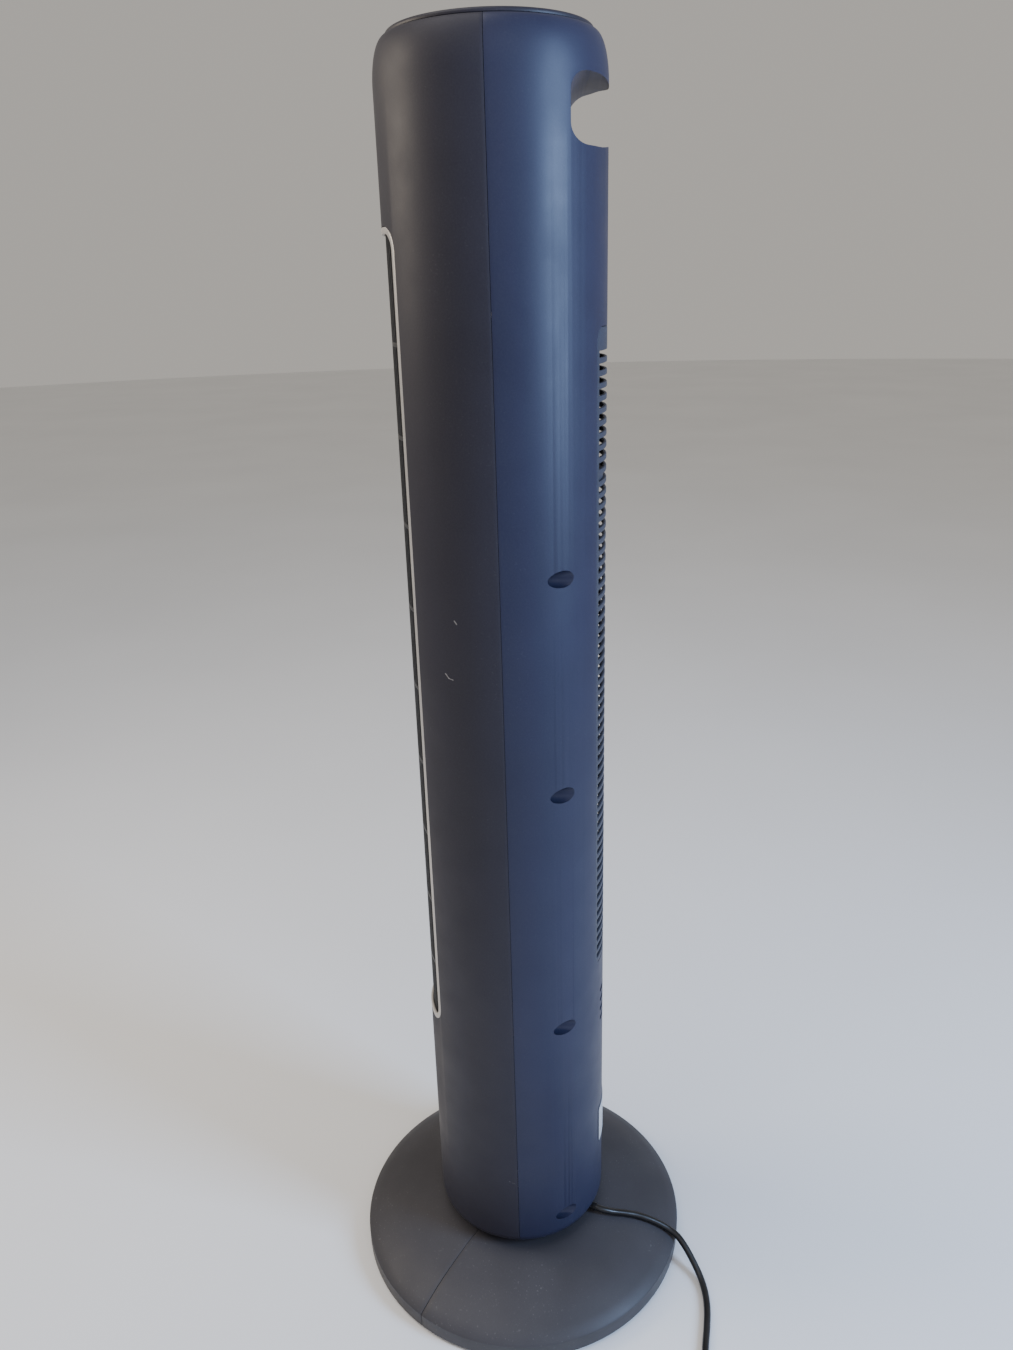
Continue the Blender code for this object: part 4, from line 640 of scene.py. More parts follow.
@dataclass(frozen=True)
class Rubber:
    """Soft rubber or cable jacket: a fine skin, dusty in patches."""

    name: str
    colour: Colour
    roughness: float = 0.7
    grain_size: float = 0.0007
    bloom: float = 0.15

    def make(self) -> bpy.types.Material:
        """Lay out the finish and return it."""
        shader = Shader(self.name)
        patches = shader.fit(shader.noise(45.0, 3.0), (0.45, 0.75), (0.0, self.bloom))
        shader.use("Base Color", shader.blend(patches, self.colour, (0.20, 0.20, 0.20)))
        shader.roughen(shader.noise(80.0, 3.0), (0.3, 0.7),
                       self.roughness - 0.08, self.roughness + 0.10)
        shader.use("Normal", shader.relief(shader.noise(1.0 / self.grain_size), 0.00002))
        return shader.material


@dataclass(frozen=True)
class Metal:
    """Rolled or plated metal with a grain along one axis."""

    name: str
    colour: Colour
    roughness: float = 0.35
    stretch: tuple[float, float, float] = (1.0, 1.0, 0.08)

    def make(self) -> bpy.types.Material:
        """Lay out the finish and return it."""
        shader = Shader(self.name, Metallic=1.0)
        streaks = shader.noise(700.0, 3.0, self.stretch)
        stain = shader.noise(60.0, 4.0)
        shader.use("Base Color", shader.blend(
            shader.fit(stain, (0.45, 0.75), (0.0, 1.0)), self.colour, tinted(self.colour, 0.62),
        ))
        shader.roughen(streaks, (0.3, 0.7), self.roughness - 0.08, self.roughness + 0.15)
        shader.use("Normal", shader.relief(streaks, 0.00001))
        return shader.material


@dataclass(frozen=True)
class BoardLaminate:
    """Circuit board laminate with the tracks showing through the mask."""

    name: str
    colour: Colour
    track: Colour

    def make(self) -> bpy.types.Material:
        """Lay out the finish and return it."""
        shader = Shader(self.name, Roughness=0.35)
        tracks = shader.add("ShaderNodeTexBrick", {
            "Vector": shader.place, "Scale": 60.0, "Mortar Size": 0.012, "Mortar Smooth": 0.1,
        }).outputs["Fac"]
        weave = shader.noise(1400.0, 1.0)
        base = shader.blend(shader.fit(weave, (0.3, 0.7), (0.0, 0.25)), self.colour,
                            (0.10, 0.14, 0.06))
        shader.use("Base Color", shader.blend(tracks, base, self.track))
        shader.use("Normal", shader.relief(tracks, 0.00003))
        return shader.material


@dataclass(frozen=True)
class PrintedFilm:
    """A blank adhesive film, a little yellowed and lifted in places."""

    name: str
    colour: Colour

    def make(self) -> bpy.types.Material:
        """Lay out the finish and return it."""
        shader = Shader(self.name, Metallic=0.25)
        stain = shader.fit(shader.noise(55.0, 4.0), (0.45, 0.75), (0.0, 0.5))
        aged = tuple(part * shade for part, shade in zip(self.colour, (0.90, 0.86, 0.76)))
        shader.use("Base Color", shader.blend(stain, self.colour, aged))
        shader.roughen(shader.noise(120.0, 2.0), (0.3, 0.7), 0.28, 0.42)
        shader.use("Normal", shader.relief(shader.noise(26.0, 2.0), 0.00025))
        return shader.material


# The front cover and the cap share one colour.
CHARCOAL = (0.0170, 0.0155, 0.0250)

FRONT_MARKS = (
    Scratch((0.0763, -0.0072, 0.1222), (0.0757, 0.0001, 0.1175), 0.0006, 0.45),
    Scratch((0.0757, 0.0001, 0.1175), (0.0762, 0.0068, 0.1172), 0.0006, 0.30),
    Scratch((0.0640, -0.0420, 0.5955), (0.0655, -0.0398, 0.5925), 0.0006, 0.6),
    Scratch((0.0655, -0.0398, 0.5925), (0.0675, -0.0363, 0.5915), 0.0005, 0.5),
    Scratch((0.0690, -0.0335, 0.6370), (0.0698, -0.0318, 0.6350), 0.0007, 0.5),
)

RECIPES = {
    "front": MouldedPlastic("front_cover_plastic", CHARCOAL, 0.50, dust=0.03,
                            scratches=FRONT_MARKS),
    "rear": MouldedPlastic("rear_cover_plastic", (0.0150, 0.0175, 0.0420), 0.44, dust=0.03),
    "base": MouldedPlastic("base_plastic", (0.038, 0.036, 0.041), 0.50, dust=0.12, mottle=0.13),
    "trim": SatinTrim("trim_paint", (0.42, 0.40, 0.38)),
    "grille": MouldedPlastic("grille_plastic", (0.022, 0.022, 0.024), 0.48),
    "louvre": MouldedPlastic("louvre_plastic", (0.030, 0.034, 0.052), 0.48, dust=0.05),
    "cap": MouldedPlastic("cap_plastic", CHARCOAL, 0.45, dust=0.04),
    "panel": GlossPlastic("panel_gloss", (0.010, 0.010, 0.011)),
    "mark": SatinTrim("panel_print", (0.62, 0.62, 0.62), 0.45, 0.0),
    "window": GlossPlastic("window_smoke", (0.020, 0.012, 0.012), 0.06, 1.0),
    "button": MouldedPlastic("button_plastic", (0.060, 0.060, 0.066), 0.38, grain_depth=0.00001),
    "rubber": Rubber("foot_rubber", (0.018, 0.018, 0.018), 0.78),
    "cord": Rubber("cord_jacket", (0.004, 0.004, 0.005), 0.36, 0.0012, 0.05),
    "steel": Metal("zinc_plate", (0.62, 0.62, 0.60), 0.32),
    "motor": Metal("motor_steel", (0.36, 0.36, 0.37), 0.42, (1.0, 1.0, 0.5)),
    "brass": Metal("blade_brass", (0.78, 0.60, 0.30), 0.28),
    "wheel": MouldedPlastic("wheel_plastic", (0.020, 0.020, 0.022), 0.46, dust=0.25),
    "acetal": MouldedPlastic("acetal", (0.72, 0.71, 0.67), 0.38, mottle=0.03,
                             dust_colour=(0.5, 0.48, 0.44)),
    "guide": MouldedPlastic("guide_plastic", (0.026, 0.026, 0.028), 0.52, dust=0.15),
    "board": BoardLaminate("board_laminate", (0.035, 0.110, 0.045), (0.10, 0.24, 0.10)),
    "capacitor": GlossPlastic("capacitor_case", (0.10, 0.10, 0.11), 0.30, 0.1),
    "label": PrintedFilm("label_film", (0.50, 0.52, 0.56)),
}

Finishes = dict[str, bpy.types.Material]


def dress(piece: bpy.types.Object, material: bpy.types.Material, body: Body | str, slot: str,
          *nodes: str) -> bpy.types.Object:
    """Give a finished piece its material and its body, and hide the frame's solids that it
    replaces.

    Args:
        piece: The piece.
        material: Its finish.
        body: The body that it rides on, or its name.
        slot: The record's material slot; not used.
        nodes: The frame's solids that it replaces.

    Returns:
        The same piece.
    """
    piece.data.materials.clear()
    piece.data.materials.append(material)
    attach(piece, body.value if isinstance(body, Body) else body)
    if nodes:
        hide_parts(*nodes)
    log.info("made %s with %d faces", piece.name, len(piece.data.polygons))
    return piece


# ---------------------------------------------------------------- camera, light and floor

@dataclass
class Studio:
    """A pale floor, soft light and one camera."""

    eye: tuple[float, float, float] = (0.7556, 0.0384, 0.8565)
    facing: float = math.radians(182.91 + 0.0745)
    tilt_down: float = math.radians(20.76)
    roll: float = math.radians(-1.68)
    lens: float = 27.19
    floor_radius: float = 12.0

    def set_camera(self) -> None:
        """Stand the camera beside the column, a little above its middle."""
        camera = bpy.data.cameras.new("camera")
        camera.lens = self.lens
        camera.clip_start = 0.01
        stand = bpy.data.objects.new("camera", camera)
        bpy.context.scene.collection.objects.link(stand)
        level = math.cos(self.tilt_down)
        aim = Vector((level * math.cos(self.facing), level * math.sin(self.facing),
                      -math.sin(self.tilt_down)))
        turn = aim.to_track_quat("-Z", "Y") @ Quaternion((0.0, 0.0, 1.0), self.roll)
        stand.location = self.eye
        stand.rotation_mode = "QUATERNION"
        stand.rotation_quaternion = turn
        bpy.context.scene.camera = stand

    def lay_floor(self) -> None:
        """A wide pale floor."""
        Bench.idle()
        bpy.ops.mesh.primitive_circle_add(vertices=96, radius=self.floor_radius,
                                          fill_type="NGON")
        floor = Bench.named("floor")
        shader = Shader("floor_paint", Roughness=0.75)
        cloud = shader.fit(shader.noise(1.5, 3.0), (0.3, 0.7), (0.0, 1.0))
        shader.use("Base Color", shader.blend(cloud, (0.80, 0.80, 0.80), (0.84, 0.84, 0.84)))
        floor.data.materials.append(shader.material)

    def soft_box(self, name: str, azimuth: float, distance: float, height: float,
                 size: tuple[float, float], power: float, colour: Colour,
                 aim: tuple[float, float, float] = (0.0, 0.0, 0.5)) -> None:
        """Place one rectangular soft light.

        Args:
            name: Name of the light.
            azimuth: Where it stands round the fan, in degrees from +X.
            distance: How far from the fan's axis.
            height: Height of its middle.
            size: Its width and height.
            power: Its power in watts.
            colour: Its colour.
            aim: The point that it faces.
        """
        light = bpy.data.lights.new(name, "AREA")
        light.shape = "RECTANGLE"
        light.size, light.size_y = size
        light.energy = power
        light.color = colour
        stand = bpy.data.objects.new(name, light)
        bpy.context.scene.collection.objects.link(stand)
        stand.location = polar(distance, math.radians(azimuth), height)
        stand.rotation_mode = "QUATERNION"
        stand.rotation_quaternion = (Vector(aim) - stand.location).to_track_quat("-Z", "Y")

    def light(self) -> None:
        """Even surroundings, a cool window, a warm glow from the wall and two soft fills."""
        world = bpy.data.worlds.new("surroundings")
        world.use_nodes = True
        back = world.node_tree.nodes["Background"]
        back.inputs["Color"].default_value = (1.0, 0.95, 0.88, 1.0)
        back.inputs["Strength"].default_value = 0.46
        bpy.context.scene.world = world
        self.soft_box("window", 64.0, 1.5, 1.05, (0.45, 0.9), 44.0, (0.44, 0.64, 1.0),
                      (0.0, 0.0, 0.9))
        self.soft_box("wall_glow", -95.0, 1.3, 1.25, (0.6, 0.6), 11.0, (1.0, 0.88, 0.72),
                      (0.0, 0.0, 0.95))
        self.soft_box("room_fill", 12.0, 2.4, 1.9, (1.8, 1.2), 12.0, (0.78, 0.80, 1.0))
        self.soft_box("ceiling", -60.0, 0.9, 2.6, (1.6, 1.6), 22.0, (1.0, 0.97, 0.96),
                      (0.0, 0.0, 0.0))


# ---------------------------------------------------------------- mains lead

@dataclass
class PowerLead:
    """The mains lead: strain relief, loose run, tied coil and plug."""

    finishes: Finishes
    radius: float = 0.0030
    relief_azimuth: float = math.radians(64.0)
    relief_height: float = 0.0468
    relief_reach: tuple[float, float] = (0.0515, 0.0793)
    relief_radii: tuple[float, float] = (0.0044, 0.0035)
    relief_rings: int = 9
    run: tuple[tuple[float, float, float], ...] = (
        (0.0353, 0.0724, 0.0466),
        (0.0363, 0.0790, 0.0450),
        (0.0353, 0.0880, 0.0418),
        (0.0341, 0.0981, 0.0392),
        (0.0335, 0.1082, 0.0364),
        (0.0342, 0.1183, 0.0333),
        (0.0355, 0.1285, 0.0292),
        (0.0380, 0.1383, 0.0247),
        (0.0432, 0.1467, 0.0212),
        (0.0515, 0.1533, 0.0166),
        (0.0604, 0.1589, 0.0110),
        (0.0691, 0.1633, 0.0062),
        (0.0784, 0.1659, 0.0038),
        (0.0900, 0.1670, 0.0032),
        (0.1040, 0.1662, 0.0032),
        (0.1200, 0.1635, 0.0032),
        (0.1370, 0.1600, 0.0032),
        (0.1540, 0.1572, 0.0032),
        (0.1700, 0.1543, 0.0032),
        (0.1832, 0.1520, 0.0032),
    )
    coil_centre: tuple[float, float] = (0.2110, 0.1890)
    coil_radii: tuple[float, ...] = (0.040, 0.034, 0.028, 0.028, 0.034, 0.040, 0.037)
    coil_heights: tuple[float, ...] = (
        0.0036, 0.0036, 0.0036, 0.0096, 0.0096, 0.0096, 0.0147)
    coil_start: float = math.radians(-90.0)
    coil_shift: float = 0.20            # share of a turn in which it moves to the next one
    points_per_turn: int = 24
    leave_share: float = 0.955          # of the last turn
    plug_size: tuple[float, float, float] = (0.0340, 0.0240, 0.0180)
    plug_azimuth: float = math.radians(100.0)
    plug_offset: tuple[float, float] = (0.0300, math.radians(10.0))
    plug_height: float = 0.0269
    plug_relief: float = 0.0160
    plug_relief_radii: tuple[float, float] = (0.0052, 0.0038)
    grip_starts: tuple[float, ...] = (0.0, 0.0032, 0.0064)
    grip_width: float = 0.0014
    grip_proud: float = 0.0004
    blade_size: tuple[float, float, float] = (0.0160, 0.0015, 0.0063)
    blade_spacing: float = 0.0127
    blade_hole_in: float = 0.0035       # from the blade's tip
    blade_hole_radius: float = 0.0016
    tie_azimuth: float = math.radians(150.0)
    rests_from: int = 14                # the point of the run from which it lies still
    path: list[Vector] = field(default_factory=list)

    def coil_turns(self) -> list[Vector]:
        """Points along the wound turns, each a diameter from its neighbours."""
        centre = Vector((*self.coil_centre, 0.0))
        last = len(self.coil_radii) - 1
        points = []
        for turn in range(last + 1):
            following = min(turn + 1, last)
            for step in range(self.points_per_turn):
                share = step / self.points_per_turn
                if turn == last and share > self.leave_share - 1.0 / self.points_per_turn:
                    break
                moved = smoothstep((share - 1.0 + self.coil_shift) / self.coil_shift)
                radius = self.coil_radii[turn]
                radius += (self.coil_radii[following] - radius) * moved
                height = self.coil_heights[turn]
                height += (self.coil_heights[following] - height) * moved
                azimuth = self.coil_start + math.tau * share
                points.append(centre + polar(radius, azimuth, height))
        return points

    def plug_centre(self) -> Vector:
        """The middle of the plug's body, which lies on the coil."""
        offset, azimuth = self.plug_offset
        return Vector((*self.coil_centre, self.plug_height)) + polar(offset, azimuth)

    def into_plug(self, start: Vector, heading: Vector) -> list[Vector]:
        """Points from the last turn, up and round into the back of the plug."""
        ahead = polar(1.0, self.plug_azimuth)
        end = self.plug_centre() - ahead * (self.plug_size[0] / 2.0 + self.plug_relief)
        pull = (end - start).length * 1.45
        points = []
        steps = 7
        for step in range(1, steps + 1):
            t = step / steps
            points.append(
                start * (2 * t ** 3 - 3 * t ** 2 + 1) + heading * pull * (t ** 3 - 2 * t ** 2 + t)
                + end * (3 * t ** 2 - 2 * t ** 3) + ahead * pull * (t ** 3 - t ** 2)
            )
        points.append(end + ahead * self.plug_relief)
        return points

    @staticmethod
    def smooth_line(points: Sequence[Vector], steps: int) -> list[Vector]:
        """A smooth line through points.

        Args:
            points: Points that it passes through.
            steps: Chords between one point and the next.

        Returns:
            Points along the line.
        """
        line = []
        for number in range(len(points) - 1):
            before = points[max(number - 1, 0)]
            here, there = points[number], points[number + 1]
            after = points[min(number + 2, len(points) - 1)]
            for step in range(steps):
                t = step / steps
                line.append(0.5 * (
                    2.0 * here + (there - before) * t
                    + (2.0 * before - 5.0 * here + 4.0 * there - after) * t * t
                    + (3.0 * here - before - 3.0 * there + after) * t ** 3
                ))
        line.append(points[-1].copy())
        return line

    def make_flex(self) -> bpy.types.Object:
        """The lead itself, from the relief to the plug.

        Returns:
            A tube along one smooth line.
        """
        turns = self.coil_turns()
        heading = (turns[-1] - turns[-2]).normalized()
        knots = [Vector(point) for point in self.run] + turns + self.into_plug(turns[-1], heading)
        inside = polar(self.relief_reach[1] - 0.006, self.relief_azimuth, self.relief_height)
        self.path = self.smooth_line([inside] + knots, 4)
        curve = bpy.data.curves.new("power_flex", "CURVE")
        curve.dimensions = "3D"
        curve.bevel_depth = self.radius
        curve.bevel_resolution = 4
        curve.use_fill_caps = True
        spline = curve.splines.new("POLY")
        spline.points.add(len(self.path) - 1)
        for point, place in zip(spline.points, self.path):
            point.co = (*place, 1.0)
        drawn = bpy.data.objects.new("power_flex", curve)
        bpy.context.scene.collection.objects.link(drawn)
        Bench.pick(drawn)
        bpy.ops.object.convert(target="MESH")
        flex = Bench.named("power_flex")
        Bench.mend(flex)
        Bench.shade(flex, 60.0)
        return flex

    @staticmethod
    def sleeve(name: str, rings: int, crest: float, groove: float, radii: tuple[float, float],
               tip: list[tuple[float, float]], sides: int) -> bpy.types.Object:
        """A tapered, ribbed sleeve that stands on its wide end.

        Args:
            name: Name of the piece.
            rings: Number of ribs.
            crest: Share of each rib that is full width.
            groove: Depth of the groove after each rib.
            radii: Its radius at the foot and at the tip.
            tip: Points of (radius, height) that close it; the last lies on the axis.
            sides: Steps round it.

        Returns:
            A closed solid along +Z.
        """
        length = tip[-1][1]
        outline = [(0.0, 0.0)]
        for ring in range(rings):
            for share, depth in ((0.0, 0.0), (crest, 0.0), (0.70, groove), (0.92, groove)):
                along = (ring + share) / rings
                radius = radii[0] + (radii[1] - radii[0]) * along
                outline.append((radius - depth, length * along))
        return Bench.turned(name, list(reversed(outline + tip)), sides, closed=False)

    def make_relief(self) -> bpy.types.Object:
        """The ribbed, tapered relief where the lead leaves the rear cover."""
        start, end = self.relief_reach
        length = end - start
        relief = self.sleeve(
            "lead_relief", self.relief_rings, 0.62, 0.0006, self.relief_radii,
            [(self.relief_radii[1], length - 0.0002), (self.radius + 0.0001, length),
             (0.0, length)], 32,
        )
        relief.rotation_euler = (0.0, math.pi / 2.0, self.relief_azimuth)
        relief.location = polar(start, self.relief_azimuth, self.relief_height)
        Bench.settle(relief)
        return Bench.shade(relief)

    def make_plug(self) -> tuple[bpy.types.Object, bpy.types.Object]:
        """The moulded plug with its grip and relief, and its two blades.

        Returns:
            The body and the blades.
        """
        length, width, height = self.plug_size
        half = Vector(self.plug_size) / 2.0
        body = Bench.block("plug_body", -half, half)
        Bench.rule(body, (-0.25 * length, 0.1 * length), ACROSS)
        Bench.edit(body, whole=False)
        bpy.ops.object.mode_set(mode="OBJECT")
        for point in body.data.vertices:
            point.select = point.co.x < -0.45 * length
        bpy.ops.object.mode_set(mode="EDIT")
        bpy.ops.transform.resize(value=(1.0, 0.55, 0.66), center_override=(-half.x, 0.0, 0.0))
        bpy.ops.object.mode_set(mode="OBJECT")
        Bench.soften(body, 0.0026, 4, 20.0)
        grips = [
            Bench.soften(Bench.block(
                "grip", (x, -width / 2.0 - self.grip_proud, -height * 0.30),
                (x + self.grip_width, width / 2.0 + self.grip_proud, height * 0.30),
            ), self.grip_proud)
            for x in self.grip_starts
        ]
        relief = self.sleeve(
            "plug_relief", 5, 0.60, 0.0007, self.plug_relief_radii,
            [(self.radius + 0.0002, self.plug_relief), (0.0, self.plug_relief)], 28,
        )
        relief.rotation_euler = (0.0, -math.pi / 2.0, 0.0)
        relief.location = (-half.x + 0.001, 0.0, 0.0)
        Bench.settle(relief)
        body = Bench.join("plug_body", [body, relief, *grips])

        blade_length, blade_thick, blade_high = self.blade_size
        blades = []
        for side in (-1.0, 1.0):
            middle = side * self.blade_spacing / 2.0
            blade = Bench.block(
                "blade", (half.x - 0.002, middle - blade_thick / 2.0, -blade_high / 2.0),
                (half.x + blade_length, middle + blade_thick / 2.0, blade_high / 2.0),
            )
            Bench.soften(blade, 0.0005, 3)
            hole_x = half.x + blade_length - self.blade_hole_in
            Bench.cut(blade, Bench.rod("hole", (hole_x, middle - 0.003, 0.0),
                                       (hole_x, middle + 0.003, 0.0),
                                       self.blade_hole_radius, 24))
            blades.append(blade)
        blades = Bench.join("plug_blades", blades)
        for piece in (body, blades):
            piece.rotation_euler = (0.0, 0.0, self.plug_azimuth)
            piece.location = self.plug_centre()
            Bench.settle(piece)
            Bench.shade(piece)
        return body, blades

    def make_tie(self) -> bpy.types.Object:
        """The strap round the coil."""
        middle = (self.coil_radii[0] + self.coil_radii[2]) / 2.0
        half = (self.coil_radii[0] - self.coil_radii[2]) / 2.0 + self.radius + 0.0009
        tie = Bench.plate("coil_tie", half, 0.0001, self.coil_heights[-1] + self.radius + 0.0008,
                          0.0042, 8)
        Bench.edit(tie)
        bpy.ops.mesh.inset(thickness=0.0006)
        bpy.ops.mesh.delete(type="FACE")
        bpy.ops.object.mode_set(mode="OBJECT")
        Bench.thicken(tie, 0.0090)
        Bench.soften(tie, 0.0002, 2)
        tie.location = Vector((*self.coil_centre, 0.0)) + polar(middle, self.tie_azimuth)
        tie.rotation_euler = (0.0, 0.0, self.tie_azimuth)
        Bench.settle(tie)
        return Bench.shade(tie)

    def make(self) -> None:
        flex = self.make_flex()
        relief = self.make_relief()
        body, blades = self.make_plug()
        tie = self.make_tie()
        dress(relief, self.finishes["cord"], Body.COLUMN, "cord", "cord_relief")
        dress(body, self.finishes["cord"], Body.STAND, "cord", "plug")
        dress(blades, self.finishes["brass"], Body.STAND, "steel")
        dress(tie, self.finishes["rubber"], Body.STAND, "rubber")
        dress(flex, self.finishes["cord"], Body.STAND, "cord", "power_cord", "cord_coil")
        flex.parent = None
        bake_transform(flex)


# ---------------------------------------------------------------- base

@dataclass
class Base:
    """The round base: two half covers, and six feet on their bosses."""

    finishes: Finishes
    wall: float = 0.0028
    flat_radius: float = 0.0740
    shoulder_radius: float = 0.0900
    shoulder_drop: float = 0.0021
    shoulder_pull: float = 0.42         # share of the shoulder that stays nearly flat
    shoulder_steps: int = 6
    dome: tuple[tuple[float, float], ...] = (
        (0.1000, 0.0361), (0.1100, 0.0336), (0.1200, 0.0308), (0.1300, 0.0271),
        (0.1400, 0.0225), (0.1485, 0.0182),
    )
    rim_from: float = 0.1400            # beyond this radius a moved line also moves in
    edge_height: float = 0.0162
    upper_edge: float = 0.00045
    lower_edge: float = 0.0006
    boss_top: float = 0.0198
    hole_radius: float = 0.0346
    seam_azimuth: float = math.radians(-35.0)
    steps: int = 84
    foot_names: tuple[str, ...] = tuple("foot_%d" % (number + 1) for number in range(6))
    radius: float = 0.0
    top: float = 0.0
    bottom: float = 0.0

    def __post_init__(self) -> None:
        """Read the base's size from the frame."""
        low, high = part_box("base_shell_right")
        self.radius = high.x
        self.top = high.z
        self.bottom = low.z

    def line(self, inset: float) -> list[tuple[float, float]]:
        """The dome's line from the flat middle to the foot of the rim, moved in."""
        top = self.top - inset
        bend = self.flat_radius + self.shoulder_pull * (self.shoulder_radius - self.flat_radius)
        points = []
        for step in range(self.shoulder_steps + 1):
            t = step / self.shoulder_steps
            points.append((
                (1 - t) ** 2 * self.flat_radius + 2 * t * (1 - t) * bend
                + t * t * self.shoulder_radius,
                top - self.shoulder_drop * t * t,
            ))
        points += [(reach - inset * (reach > self.rim_from), height - inset)
                   for reach, height in self.dome]
        points.append((self.radius - inset, self.edge_height - inset))
        points.append((self.radius - inset, self.bottom))
        return points

    def make_halves(self) -> None:
        """The two half covers, with a gap between them."""
        outline = [(self.hole_radius, self.top)] + self.line(0.0)
        outline += list(reversed(self.line(self.wall)))
        outline.append((self.hole_radius, self.top - self.wall))
        gap = SEAM / 2.0 / self.radius
        for side, node in ((0.0, "base_shell_right"), (math.pi, "base_shell_left")):
            half = Bench.turned(node.replace("shell", "cover"), outline, self.steps,
                                start=self.seam_azimuth + side + gap,
                                sweep=math.pi - 2.0 * gap)
            Bench.round_edges(half, lambda point: point.z > self.bottom + 0.002,
                              self.upper_edge, 2, 50.0)
            Bench.round_edges(half, lambda point: point.z < self.bottom + 0.0005,
                              self.lower_edge, 2, 50.0)
            Bench.shade(half, 30.0)
            dress(half, self.finishes["base"], Body.STAND, "base", node)

    def make_feet(self) -> None:
        """The rubber feet on their bosses."""
        low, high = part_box(self.foot_names[0])
        radius = (high.x - low.x) / 2.0
        foot = Bench.turned("rubber_foot", [
            (0.0, high.z), (radius - 0.0006, high.z), (radius, high.z - 0.0004),
            (radius, 0.0008), (radius - 0.0008, 0.0), (radius * 0.55, 0.0),
            (radius * 0.50, 0.0005), (0.0, 0.0005),
        ], 40, closed=False)
        boss = Bench.turned("foot_boss", [
            (0.0, high.z + TOUCH), (radius + 0.0015, high.z + TOUCH),
            (radius + 0.0015, self.boss_top),
            (0.0, self.boss_top),
        ], 40, closed=False)
        for name in self.foot_names:
            middle = middle_of(name)
            shift = (middle.x, middle.y, 0.0)
            number = name.rsplit("_", 1)[1]
            dress(Bench.shade(Bench.copy(foot, "rubber_foot_" + number, shift)),
                  self.finishes["rubber"], Body.STAND, "rubber", name)
            dress(Bench.shade(Bench.copy(boss, "foot_boss_" + number, shift)),
                  self.finishes["base"], Body.STAND, "base")
        for pattern in (foot, boss):
            bpy.data.objects.remove(pattern, do_unlink=True)

    def make(self) -> None:
        """Make and dress the base."""
        self.make_halves()
        self.make_feet()


# ---------------------------------------------------------------- column covers

